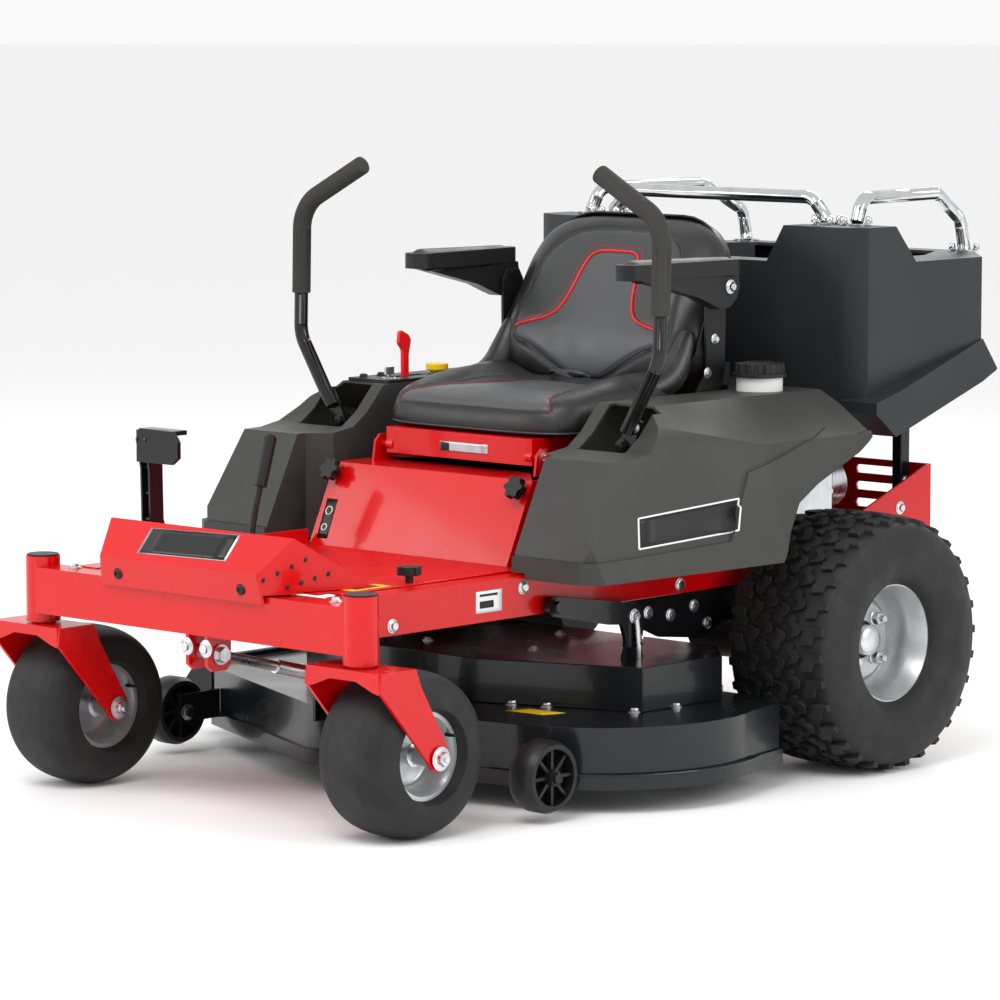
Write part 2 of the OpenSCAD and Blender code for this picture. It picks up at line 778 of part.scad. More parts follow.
module brake_lever() {
    p = brake_pivot;
    top = [p.x, -714, 592];
    bend = [p.x, -752, 470];
    color(black) {
        difference() {
            rod_x(p, 15, 14);
            rod_x(p, 6.05, 40);
        }
        bent_tube([p + 9 * unit(bend - p), bend, bend + 0.35 * (top - bend)], 6, 250);
        rod(bend + 0.3 * (top - bend), top, 12);
        rod(top, top + 3 * unit(top - bend), 10);
        rod(top, top + 5 * unit(top - bend), 7);
    }
}

module lift_pedal() {
    p = pedal_pivot;
    color(black) difference() {
        union() {
            rod_x(p, 16, 24);
            // channel-shaped arm: two sides and a web
            for (x = [p.x - 12, p.x + 8]) plate_x(x, x + 4, [[p.y - 14, p.z + 4],
                [p.y + 14, p.z + 8], [-985, 470], [-988, 618], [-1024, 622], [-1028, 612],
                [-1018, 560], [-1016, 470]]);
            plate_x(p.x - 9, p.x + 9, [[p.y + 2, p.z + 6], [p.y + 10, p.z + 8], [-989, 470],
                [-992, 618], [-998, 618], [-995, 470]]);
            for (z = [470, 515, 560]) block([p.x - 9, -1012, z], [p.x + 9, -990, z + 4]);
            // foot plate with a turned-down edge
            plate_y(-1026, -1018, [[p.x - 12, 628], [p.x - 12, 572], [p.x + 76, 572],
                [p.x + 92, 584], [p.x + 92, 612], [p.x + 78, 630]]);
            block([p.x - 12, -1020, 622], [p.x + 78, -990, 630]);
        }
        rod_x(p, 8.05, 60);
    }
}

// ---------- engine ----------

module engine() {
    c = crank;
    color(black) {
        // crankcase
        translate([c.x, c.y, plate_top]) cylinder(h = 110, r = 118, $fn = 64);
        // two finned cylinders in a V
        for (s = [-1, 1]) {
            translate([c.x, c.y, plate_top + 72]) rotate([0, 0, s * 45 + 90])
                for (i = [0 : 6]) translate([100 + i * 14, -62, -52]) cube([8, 124, 104]);
            translate([c.x, c.y, plate_top + 72]) rotate([0, 0, s * 45 + 90])
                translate([90, -46, -40]) cube([130, 92, 80]);
        }
        // blower housing and fan screen
        translate([c.x, c.y, plate_top + 110]) difference() {
            linear_extrude(150) polygon([[-190, -90], [-150, -140], [150, -140], [190, -90],
                [190, 90], [140, 170], [-140, 170], [-190, 90]]);
            translate([0, 0, 20]) cylinder(h = 140, r = 118, $fn = 64);
            translate([0, 0, -1]) cylinder(h = 30, r = 60, $fn = 64);
        }
        translate([c.x, c.y, plate_top + 108]) cylinder(h = 60, r = 50, $fn = 48);
        translate([c.x, c.y, plate_top + 165]) cylinder(h = 90, r = 100, $fn = 64);
        // air cleaner
        block([-130, 0, plate_top + 240], [130, 90, plate_top + 300]);
    }
}

module muffler() {
    color(steel) {
        rod([224, 60, 470], [224, 268, 470], 44);
        block([240, 46, 425], [326, 150, 530]);
    }
}

module clutch_pulley() {
    z = 292;
    color(steel) translate([crank.x, crank.y, 0]) {
        translate([0, 0, z]) cylinder(h = plate_top - z - 1, r = 14, $fn = 48);
        translate([0, 0, z + 52]) cylinder(h = 36, r = 56, $fn = 64);
        translate([0, 0, z + 2]) rotate_extrude($fn = 96)
            polygon([[10, 0], [68, 0], [68, 3], [56, 14], [56, 22], [68, 33], [68, 36], [10, 36]]);
    }
}

// ---------- deck ----------

// Outline of the deck, every edge moved inwards by t: three straight front edges
// and a round left lobe.
module deck_outline(t) {
    offset(delta = -t) polygon(concat(
        [[-530, -245], [-530, -600], [-490, -648], [-60, -832], [70, -838]],
        [for (a = [-88 : 8 : 24]) [lobe.x + 292 * cos(a), lobe.y + 292 * sin(a)]],
        [[548, -258], [505, -224], [372, -220], [344, -168], [-336, -168], [-366, -240]]));
}

module spindle_housing(p) {
    translate([p.x, p.y, deck_top - 58]) difference() {
        union() {
            cylinder(h = 78, r = 34, $fn = 48);
            translate([0, 0, 50]) cylinder(h = 8, r = 74, $fn = 48);
        }
        translate([0, 0, -1]) cylinder(h = 80, r = stem_r + 0.05, $fn = 48);
    }
}

module deck_shell() {
    color(black) {
        difference() {
            union() {
                translate([0, 0, deck_low + 24]) linear_extrude(deck_top - deck_low - 24)
                    deck_outline(6);
                translate([0, 0, deck_low]) linear_extrude(26) deck_outline(0);
            }
            translate([0, 0, deck_low - 1]) linear_extrude(deck_top - deck_low - 4)
                deck_outline(10);
            // discharge opening on the right-hand side
            block([-540, -600, deck_low - 1], [-500, -280, deck_top - 6]);
            for (p = [spindle_left, spindle_right])
                translate([p.x, p.y, deck_top - 10]) cylinder(h = 20, r = 33, $fn = 48);
            translate([120, -640, deck_top - 10]) cylinder(h = 12, r = 13.5, $fn = 48);
        }
        spindle_housing(spindle_left);
        spindle_housing(spindle_right);
        // wheel brackets at the front corners
        for (w = [[scalp_left, scalp_left.x - 35, -733], [scalp_right, scalp_right.x + 35, -655]])
            difference() {
                block([w[1] - 4, w[0].y - 18, 60], [w[1] + 4, w[2], 112]);
                rod_x([w[1], w[0].y, w[0].z], 6.05, 40);
            }
        // lugs and pin of the discharge chute
        rod(chute_hinge + [0, -176, 0], chute_hinge + [0, 136, 0], 4);
        for (y = [-176, 132]) block([chute_hinge.x - 7, chute_hinge.y + y, chute_hinge.z - 8],
            [-518, chute_hinge.y + y + 4, chute_hinge.z + 7]);
        // eyes for the front link
        for (x = [link_end.x - 20, link_end.x + 14])
            plate_x(x, x + 6, [[-880, 130], [-878, 220], [-846, 220], [-800, deck_top],
                [-800, 130]]);
    }
}

cover_plan = [[444, -300], [440, -505], [150, -618], [-160, -618], [-370, -520],
    [-380, -300], [-300, -215], [360, -215]];

module belt_cover() {
    color(black) difference() {
        plate_z(deck_top, cover_top, cover_plan);
        translate([0, 0, deck_top - 1]) linear_extrude(cover_top - deck_top - 3)
            offset(delta = -4) polygon(cover_plan);
        block([-200, -240, deck_top - 1], [220, -200, cover_top - 12]);
    }
}

module blade(p) {
    low = deck_low + 26;
    color(steel) translate([p.x, p.y, 0]) {
        translate([0, 0, low]) cylinder(h = deck_top + 56 - low, r = stem_r, $fn = 48);
        translate([0, 0, low - 8]) cylinder(h = 8, r = 15, $fn = 6);
        translate([-blade_len / 2, -29, low]) difference() {
            cube([blade_len, 58, 6]);
            translate([-1, 50, 3]) rotate([25, 0, 0]) cube([90, 20, 8]);
            translate([blade_len - 89, 8, 3]) rotate([-25, 0, 0])
                translate([0, -20, 0]) cube([90, 20, 8]);
        }
        translate([0, 0, deck_top + 24]) rotate_extrude($fn = 96)
            polygon([[10, 0], [60, 0], [60, 3], [49, 12], [49, 14], [60, 23], [60, 26], [10, 26]]);
    }
}

module discharge_chute() {
    h = chute_hinge;
    color(black) difference() {
        union() {
            translate([h.x, -600, h.z]) rotate([-90, 0, 0]) cylinder(h = 300, r = 7, $fn = 32);
            plate_y(-600, -300, [[h.x, h.z + 6], [h.x, h.z - 2], [-570, h.z - 8], [-608, 100],
                [-612, 60], [-618, 60], [-615, 104], [-574, h.z]]);
            for (y = [-600, -304]) plate_y(y, y + 4, [[h.x - 3, h.z], [h.x - 3, 80],
                [-612, 62], [-608, 104], [-571, h.z]]);
        }
        translate([h.x, -610, h.z]) rotate([-90, 0, 0]) cylinder(h = 320, r = 4.05, $fn = 32);
    }
}

// Moulded anti-scalp wheel: crowned tread, web and hub, on its shoulder bolt.
module scalp_wheel(p, side) {
    r = scalp_r;
    color(black) translate(p) rotate([0, 90, 0])
        rotate_extrude($fn = 96) polygon([[6.2, -27], [14, -27], [14, -4], [48, -4],
            [48, -27], [56, -27], [r, -14], [r, 14], [56, 27], [48, 27],
            [48, 4], [14, 4], [14, 27], [6.2, 27]]);
    color(steel) translate(p) mirror([side < 0 ? 1 : 0, 0, 0]) {
        rod([-42, 0, 0], [30, 0, 0], 6);
        translate([27.4, 0, 0]) rotate([0, 90, 0]) hex_head(9);
        translate([-39.4, 0, 0]) rotate([0, -90, 0]) hex_head(9);
    }
}

module lift_arms() {
    p = arm_pivot;
    color(black) difference() {
        union() {
            for (s = [-1, 1]) sided(s) {
                plate_x(p.x, p.x + 8, [[p.y - 16, p.z - 8], [p.y, p.z - 17], [-500, 292],
                    [-462, 288], [-452, 262], [-452, 246], [-408, 246], [-404, 300],
                    [-420, 322], [p.y + 6, p.z + 17], [p.y - 12, p.z + 12]]);
                rod_x([p.x, p.y, p.z], 17, 16);
            }
            rod_x([0, p.y, p.z], 7.95, 2 * p.x + 30);
        }
    }
    color(steel) for (s = [-1, 1]) sided(s)
        translate([p.x + 8.2, p.y, p.z]) rotate([0, 90, 0]) hex_head(10);
}

module front_link() {
    a = link_pin;
    b = link_end;
    color(steel) {
        rod_x(a, 8, 62);
        for (s = [-1, 1]) translate([a.x + s * 28, a.y, a.z]) rotate([0, s * 90, 0]) hex_head(12);
        rod_x(a, 13, 34);
        rod(a, b, 9);
        rod(a + 0.55 * (b - a), b, 12);
        rod_x(b, 13, 26);
    }
}

// ---------- cargo bed ----------

module bed_form(t) {
    front = 132 + t;
    rear = bed_rear - t;
    half = 400 - t;
    low = t > 0 ? 560 : 573;
    flare = 42;
    plan = [[-345, front], [345, front], [half, front + 26], [half, rear - 142],
        [272, rear], [-272, rear], [-half, rear - 142], [-half, front + 26]];
    profile = [[front - 20, low], [front, bed_top - t], [238, bed_top - t], [298, bed_ledge - t],
        [rear + 20, bed_ledge - t], [rear + 20, low]];
    difference() {
        union() {
            intersection() {
                plate_z(low, bed_top, plan);
                plate_x(-500, 500, profile);
            }
            // flared skirt along both sides
            for (s = [-1, 1]) sided(s) intersection() {
                plate_y(front, rear - 120, [[300, 560], [300, 740], [half, 740],
                    [half + flare, 660], [half + flare, 560]]);
                plate_x(300, 500, [[front, 640 - t], [front, low], [front + 60, 572 + t],
                    [rear - 150, 672 + t], [rear - 132, 680 + t], [rear - 140, 735 - t]]);
            }
        }
        // sloping lower edge
        plate_x(-500, 500, [[60, 500], [front - 30, 642], [190, 575], [bed_rear - 148, 674],
            [bed_rear + 30, 700], [bed_rear + 30, 500]]);
        // load space between the side walls
        translate([0, 0, bed_floor - t]) linear_extrude(400)
            polygon([[-286 - t, 196 - t], [286 + t, 196 - t], [286 + t, 470 + t],
                [220 + t, rear - 50], [-220 - t, rear - 50], [-286 - t, 470 + t]]);
        // the front wall is lower between the side walls
        plate_y(front - 30, 230, [[-247 - t, 1000], [-181 - t, bed_ledge - t],
            [181 + t, bed_ledge - t], [247 + t, 1000]]);
    }
}

module cargo_bed() {
    color(bed_black) difference() {
        bed_form(0);
        translate([0, 0, -0.01]) bed_form(6);
        // room for the engine and the struts
        block([-300, 150, 500], [300, 600, bed_floor - 6.2]);
        block([-210, 90, 500], [210, 200, 668]);
    }
}

rail_r = 12.5;

module bed_rails() {
    flange = 26;
    color(steel) {
        for (s = [-1, 1]) sided(s) {
            bent_tube([[326, 214, bed_top + 6], [322, 236, 1004], [288, 502, 1004],
                [270, 600, 950], [270, 614, bed_ledge + 4]], rail_r, 34);
            translate([326, 214, bed_top + 0.2]) cylinder(h = 4, r = flange, $fn = 48);
            translate([270, 614, bed_ledge + 0.2]) cylinder(h = 4, r = flange, $fn = 48);
            translate([262, 208, bed_top + 0.2]) cylinder(h = 4, r = flange, $fn = 48);
        }
        bent_tube([[262, 208, bed_top + 8], [226, 210, 1004], [-226, 210, 1004],
            [-262, 208, bed_top + 8]], rail_r, 36);
    }
}

// ---------- nodes ----------

at_axle() front_crossbar();
at_axle() frame_rail(1);  // frame_rail_left
at_axle() frame_rail(-1);  // frame_rail_right
at_axle() engine_plate();
at_axle() rear_guard();
at_axle() bed_struts();
at_axle() caster_caps();
at_axle() caster_fork(1);  // caster_fork_left
at_axle() caster_fork(-1);  // caster_fork_right
at_axle() caster_rim(1);  // caster_rim_left
at_axle() caster_rim(-1);  // caster_rim_right
at_axle() caster_tyre(1);  // caster_tyre_left
at_axle() caster_tyre(-1);  // caster_tyre_right
at_axle() transaxles();
at_axle() rear_hub(1);  // rear_hub_left
at_axle() rear_hub(-1);  // rear_hub_right
at_axle() rear_rim(1);  // rear_rim_left
at_axle() rear_rim(-1);  // rear_rim_right
at_axle() rear_tyre(1);  // rear_tyre_left
at_axle() rear_tyre(-1);  // rear_tyre_right
at_axle() floor_pan();
at_axle() foot_cowl();
at_axle() seat_box();
at_axle() panel_knobs();
at_axle() seat_pan();
at_axle() seat_base();
at_axle() seat_back();
at_axle() seat_shell();
at_axle() armrest(1);  // armrest_left
at_axle() armrest(-1);  // armrest_right
at_axle() fender(1);  // fender_left
at_axle() fender(-1);  // fender_right
at_axle() console_panel();
at_axle() throttle_lever();
at_axle() pto_knob();
at_axle() ignition_key();
at_axle() fuel_tank();
at_axle() fuel_cap();
at_axle() lever_mount(1);  // lever_mount_left
at_axle() lever_mount(-1);  // lever_mount_right
at_axle() steering_lever(1);  // steering_lever_left
at_axle() steering_lever(-1);  // steering_lever_right
at_axle() lever_grip(1);  // lever_grip_left
at_axle() lever_grip(-1);  // lever_grip_right
at_axle() brake_lever();
at_axle() lift_pedal();
at_axle() engine();
at_axle() muffler();
at_axle() clutch_pulley();
at_axle() deck_shell();
at_axle() belt_cover();
at_axle() blade(spindle_left);  // blade_left
at_axle() blade(spindle_right);  // blade_right
at_axle() discharge_chute();
at_axle() scalp_wheel(scalp_left, 1);  // scalp_wheel_left
at_axle() scalp_wheel(scalp_right, -1);  // scalp_wheel_right
at_axle() lift_arms();
at_axle() front_link();
at_axle() cargo_bed();
at_axle() bed_rails();
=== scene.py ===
"""Looks of the zero turn mower: materials, upholstery, tyres, fasteners and trim on its CAD frame."""

import math

import bmesh
import bpy
import numpy as np
from mathutils import Matrix, Vector
from mathutils.bvhtree import BVHTree


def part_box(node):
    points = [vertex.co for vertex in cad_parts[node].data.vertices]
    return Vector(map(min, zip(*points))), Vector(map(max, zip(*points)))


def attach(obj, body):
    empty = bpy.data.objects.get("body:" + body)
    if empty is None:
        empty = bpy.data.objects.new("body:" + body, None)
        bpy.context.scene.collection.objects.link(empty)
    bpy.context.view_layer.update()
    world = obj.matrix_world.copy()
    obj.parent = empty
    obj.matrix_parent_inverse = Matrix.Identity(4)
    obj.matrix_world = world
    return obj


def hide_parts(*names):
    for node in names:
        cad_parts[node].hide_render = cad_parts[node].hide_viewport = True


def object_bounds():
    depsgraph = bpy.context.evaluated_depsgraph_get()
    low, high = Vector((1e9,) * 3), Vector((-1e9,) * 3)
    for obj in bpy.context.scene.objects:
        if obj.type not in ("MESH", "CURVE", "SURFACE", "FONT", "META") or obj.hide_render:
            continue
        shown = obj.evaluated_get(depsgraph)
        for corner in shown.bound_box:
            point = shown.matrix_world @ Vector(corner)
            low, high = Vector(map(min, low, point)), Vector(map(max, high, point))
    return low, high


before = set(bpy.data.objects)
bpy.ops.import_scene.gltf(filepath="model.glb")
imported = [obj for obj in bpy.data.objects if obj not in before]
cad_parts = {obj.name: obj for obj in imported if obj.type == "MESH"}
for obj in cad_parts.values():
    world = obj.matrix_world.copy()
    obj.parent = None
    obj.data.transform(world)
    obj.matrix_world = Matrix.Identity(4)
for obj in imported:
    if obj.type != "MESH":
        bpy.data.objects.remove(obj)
cad_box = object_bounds()

# Rear axle of the CAD model; sub-part places below are given in mm from it, with Z from the ground.
REAR_AXLE_Y = (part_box("rear_tyre_left")[0].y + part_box("rear_tyre_left")[1].y) / 2
MM = 0.001
X, Y, Z = Vector((1, 0, 0)), Vector((0, 1, 0)), Vector((0, 0, 1))


def at(x, y, z):
    """Point in the row frame from millimetres measured from the rear axle."""
    return Vector((x * MM, y * MM + REAR_AXLE_Y, z * MM))


# ---------------------------------------------------------------- materials

class Nodes:
    """Short way to build a node material around one Principled BSDF."""

    def __init__(self, name, base, rough, metal=0.0, **sockets):
        self.mat = bpy.data.materials.new(name)
        self.mat.use_nodes = True
        self.tree = self.mat.node_tree
        self.bsdf = self.tree.nodes["Principled BSDF"]
        self.base = (*base, 1.0)
        self.bsdf.inputs["Base Color"].default_value = self.base
        self.bsdf.inputs["Roughness"].default_value = rough
        self.bsdf.inputs["Metallic"].default_value = metal
        for key, value in sockets.items():
            self.bsdf.inputs[key.replace("_", " ")].default_value = value
        self.coords = self.new("ShaderNodeTexCoord").outputs["Object"]
        self.normal = None

    def new(self, kind, **inputs):
        node = self.tree.nodes.new(kind)
        for key, value in inputs.items():
            node.inputs[key.replace("_", " ")].default_value = value
        return node

    def link(self, a, b):
        self.tree.links.new(a, b)

    def scaled(self, x=1.0, y=1.0, z=1.0):
        node = self.new("ShaderNodeMapping")
        node.inputs["Scale"].default_value = (x, y, z)
        self.link(self.coords, node.inputs["Vector"])
        return node.outputs["Vector"]

    def noise(self, scale, detail=2.0, rough=0.5, vector=None):
        node = self.new("ShaderNodeTexNoise", Scale=scale, Detail=detail, Roughness=rough)
        self.link(vector or self.coords, node.inputs["Vector"])
        return node.outputs["Fac"]

    def cells(self, scale, feature="DISTANCE_TO_EDGE", vector=None):
        node = self.new("ShaderNodeTexVoronoi", Scale=scale)
        node.feature = feature
        self.link(vector or self.coords, node.inputs["Vector"])
        return node.outputs["Distance"]

    def ramp(self, value, low, high, out_low=0.0, out_high=1.0):
        node = self.new("ShaderNodeMapRange")
        node.inputs["From Min"].default_value = low
        node.inputs["From Max"].default_value = high
        node.inputs["To Min"].default_value = out_low
        node.inputs["To Max"].default_value = out_high
        self.link(value, node.inputs["Value"])
        return node.outputs["Result"]

    def tint(self, value, colour, start=0.0, end=1.0):
        """Blends the base colour towards colour where value is high."""
        mix = self.new("ShaderNodeMix")
        mix.data_type = "RGBA"
        source = self.bsdf.inputs["Base Color"]
        mix.inputs[6].default_value = self.base
        mix.inputs[7].default_value = (*colour, 1.0)
        self.link(self.ramp(value, start, end), mix.inputs["Factor"])
        if source.is_linked:
            self.link(source.links[0].from_socket, mix.inputs[6])
        self.link(mix.outputs[2], source)
        return self

    def gloss(self, value, low, high):
        """Roughness from low to high as value goes from 0 to 1."""
        self.link(self.ramp(value, 0.3, 0.7, low, high), self.bsdf.inputs["Roughness"])
        return self

    def bump(self, value, strength, distance):
        node = self.new("ShaderNodeBump", Strength=strength, Distance=distance)
        self.link(value, node.inputs["Height"])
        if self.normal is not None:
            self.link(self.normal, node.inputs["Normal"])
        self.normal = node.outputs["Normal"]
        self.link(self.normal, self.bsdf.inputs["Normal"])
        return self


def powder(name, base, rough, dark):
    """Powder coat: faint orange peel, slightly uneven gloss."""
    m = Nodes(name, base, rough, Coat_Weight=0.28, Coat_Roughness=0.07,
              Specular_IOR_Level=0.25)
    m.tint(m.noise(3.0, 3.0), dark, 0.45, 1.3)
    m.gloss(m.noise(9.0, 4.0), rough * 0.85, rough * 1.25)
    m.bump(m.noise(420.0, 1.0), 0.10, 0.0004)
    return m.mat


def moulded(name, base, rough, grain, depth=0.00035, light=1.5):
    """Injection-moulded plastic with a fine sparked texture."""
    m = Nodes(name, base, rough, Specular_IOR_Level=0.32)
    m.tint(m.noise(5.0, 4.0), tuple(c * light for c in base), 0.42, 0.95)
    m.gloss(m.noise(14.0, 5.0), rough * 0.9, rough * 1.15)
    m.bump(m.noise(grain, 2.0, 0.6), 0.30, depth)
    return m.mat


def metal(name, base, rough, streak=0.0, spots=0.0):
    """Bare or plated metal with fine directional streaks."""
    m = Nodes(name, base, rough, 1.0)
    m.tint(m.noise(40.0, 5.0), tuple(c * 0.72 for c in base), 0.45, 1.0)
    m.gloss(m.noise(60.0, 4.0, vector=m.scaled(1, 1, 0.3)), rough * 0.75, rough * 1.3)
    if streak:
        m.bump(m.noise(900.0, 2.0, vector=m.scaled(0.05, 1, 1)), streak, 0.0001)
    if spots:
        m.bump(m.cells(260.0, "F1"), spots, 0.0002)
    return m.mat


def rubber(name, base, rough):
    """Matt tyre rubber with a dusty bloom."""
    m = Nodes(name, base, rough, Specular_IOR_Level=0.3)
    m.tint(m.noise(22.0, 6.0, 0.65), tuple(c * 1.7 + 0.004 for c in base), 0.45, 0.85)
    m.gloss(m.noise(30.0, 4.0), rough * 0.88, rough * 1.1)
    m.bump(m.noise(700.0, 3.0), 0.25, 0.0003)
    return m.mat


def upholstery(name, base, rough):
    """Grained vinyl: pebbled leather cells, pores and soft creasing."""
    m = Nodes(name, base, rough, Coat_Weight=0.12, Coat_Roughness=0.35)
    m.tint(m.noise(7.0, 4.0), tuple(c * 1.35 for c in base), 0.4, 0.9)
    m.gloss(m.noise(25.0, 5.0), rough * 0.85, rough * 1.15)
    m.bump(m.noise(45.0, 3.0), 0.12, 0.0012)
    m.bump(m.cells(620.0), 0.35, 0.0003)
    return m.mat


RED = powder("red_powder_coat", (0.56, 0.0012, 0.0025), 0.24, (0.42, 0.0006, 0.0015))
BLACK_PAINT = powder("black_powder_coat", (0.006, 0.006, 0.007), 0.22, (0.011, 0.011, 0.012))
DECK_PAINT = powder("deck_black_powder_coat", (0.006, 0.007, 0.008), 0.24, (0.012, 0.013, 0.015))
CHARCOAL = moulded("charcoal_moulding", (0.031, 0.032, 0.029), 0.46, 620.0)
BED_BLACK = moulded("bed_moulding", (0.015, 0.018, 0.020), 0.40, 560.0)
SATIN = moulded("satin_black_moulding", (0.008, 0.008, 0.008), 0.40, 700.0)
FOAM = moulded("grip_foam", (0.030, 0.030, 0.028), 0.86, 900.0, 0.0006, 1.3)
TANK_WHITE = moulded("natural_polyethylene", (0.72, 0.73, 0.70), 0.42, 300.0, 0.0002, 1.06)
TYRE = rubber("tyre_rubber", (0.012, 0.012, 0.012), 0.60)
CHROME = metal("bright_chrome", (0.58, 0.59, 0.60), 0.07)
ZINC = metal("zinc_plate", (0.66, 0.68, 0.70), 0.30, spots=0.08)
STEEL = metal("bare_steel", (0.50, 0.51, 0.52), 0.34, streak=0.2)
CASTING = moulded("black_casting", (0.020, 0.020, 0.021), 0.48, 240.0, 0.0008, 1.8)
VINYL = upholstery("black_vinyl", (0.012, 0.012, 0.013), 0.38)
KNOB_YELLOW = moulded("yellow_moulding", (0.80, 0.52, 0.010), 0.32, 200.0, 0.0001, 1.05)
KNOB_RED = moulded("red_moulding", (0.70, 0.010, 0.012), 0.26, 200.0, 0.0001, 1.1)
LABEL_WHITE = moulded("white_label", (0.70, 0.71, 0.71), 0.40, 100.0, 0.00005, 1.03)
LABEL_SILVER = metal("silver_label", (0.55, 0.56, 0.58), 0.38)
LABEL_BLACK = moulded("black_label", (0.008, 0.008, 0.009), 0.28, 100.0, 0.00005, 1.3)
LABEL_YELLOW = moulded("yellow_label", (0.85, 0.55, 0.012), 0.38, 100.0, 0.00005, 1.03)


def rim_paint():
    m = Nodes("silver_wheel_paint", (0.52, 0.54, 0.55), 0.34, 0.75,
              Coat_Weight=0.35, Coat_Roughness=0.12)
    m.tint(m.noise(30.0, 4.0), (0.40, 0.42, 0.43), 0.4, 1.0)
    m.bump(m.noise(800.0, 1.0), 0.12, 0.0002)
    return m.mat


RIM = rim_paint()

def each(names):
    """Node names of a word list; a closing star stands for the left and the right one."""
    for word in names.split():
        yield from (word[:-1] + "left", word[:-1] + "right") if word[-1] == "*" else (word,)


NODE_LOOKS = {node: look for look, names in (
    (RED, "front_crossbar frame_rail_* engine_plate rear_guard caster_fork_* floor_pan"
          " foot_cowl seat_box seat_pan"),
    (BLACK_PAINT, "bed_struts lever_mount_* steering_lever_* lift_pedal lift_arms"),
    (DECK_PAINT, "deck_shell belt_cover"),
    (SATIN, "caster_caps panel_knobs seat_shell armrest_* console_panel fuel_cap brake_lever"
            " discharge_chute scalp_wheel_*"),
    (CHARCOAL, "fender_*"),
    (BED_BLACK, "cargo_bed"),
    (CASTING, "transaxles rear_hub_* engine"),
    (RIM, "caster_rim_* rear_rim_*"),
    (TYRE, "caster_tyre_*"),
    (FOAM, "lever_grip_*"),
    (TANK_WHITE, "fuel_tank"),
    (KNOB_RED, "throttle_lever"),
    (KNOB_YELLOW, "pto_knob"),
    (ZINC, "ignition_key muffler front_link"),
    (STEEL, "clutch_pulley blade_*"),
    (CHROME, "bed_rails"),
) for node in each(names)}
# Edge rounding of the sharp CAD solids, in mm.
ROUNDED = {node: width for width, names in (
    (0.6, "blade_*"),
    (0.8, "ignition_key"),
    (1.2, "seat_pan floor_pan lever_mount_* caster_caps"),
    (1.5, "rear_guard console_panel lift_arms fuel_cap panel_knobs"),
    (1.6, "seat_box"),
    (2, "engine_plate discharge_chute lift_pedal bed_struts pto_knob fuel_tank brake_lever"),
    (2.2, "throttle_lever"),
    (2.5, "foot_cowl caster_fork_* engine"),
    (3, "seat_shell"),
    (3.5, "front_crossbar deck_shell"),
    (4, "frame_rail_* belt_cover muffler"),
    (6, "fender_*"),
    (7, "cargo_bed"),
    (11, "armrest_*"),
) for node in each(names)}


def smooth_by_angle(mesh, degrees=38.0):
    """Smooth shading with sharp edges where faces meet at more than this angle."""
    bm = bmesh.new()
    bm.from_mesh(mesh)
    for f in bm.faces:
        f.smooth = True
    limit = math.radians(degrees)
    for e in bm.edges:
        e.smooth = len(e.link_faces) != 2 or e.calc_face_angle(0.0) < limit
    bm.to_mesh(mesh)
    bm.free()


def dress(name):
    """Material, softened edges and even shading for a CAD node, all without touching its mesh."""
    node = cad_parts[name]
    node.data.materials.clear()
    node.data.materials.append(NODE_LOOKS[name])
    weld = node.modifiers.new("weld", "WELD")
    weld.merge_threshold = 0.00002
    if name in ROUNDED:
        flat = node.modifiers.new("planar", "DECIMATE")
        flat.decimate_type = "DISSOLVE"
        flat.angle_limit = math.radians(0.6)
        bevel = node.modifiers.new("edges", "BEVEL")
        bevel.limit_method = "ANGLE"
        bevel.angle_limit = math.radians(28)
        bevel.width = ROUNDED[name] * MM
        bevel.segments = 3
        bevel.use_clamp_overlap = True
        bevel.miter_outer = "MITER_ARC"
        even = node.modifiers.new("shading", "WEIGHTED_NORMAL")
        even.keep_sharp = False
        even.weight = 60


for node_name in NODE_LOOKS:
    dress(node_name)


# ---------------------------------------------------------------- mesh helpers

def piece(name, verts, faces, body, material, sharp=38.0):
    """New mesh object from points in the row frame; it rides on a CAD body."""
    mesh = bpy.data.meshes.new(name)
    mesh.from_pydata([tuple(v) for v in verts], [], faces)
    mesh.update()
    obj = bpy.data.objects.new(name, mesh)
    bpy.context.scene.collection.objects.link(obj)
    mats = material if isinstance(material, (list, tuple)) else [material]
    for m in mats:
        mesh.materials.append(m)
    smooth_by_angle(mesh, sharp)
    if body:
        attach(obj, body)
    return obj


def basis(direction):
    """Rotation whose local Z is direction."""
    return direction.normalized().to_track_quat("Z", "Y").to_matrix()


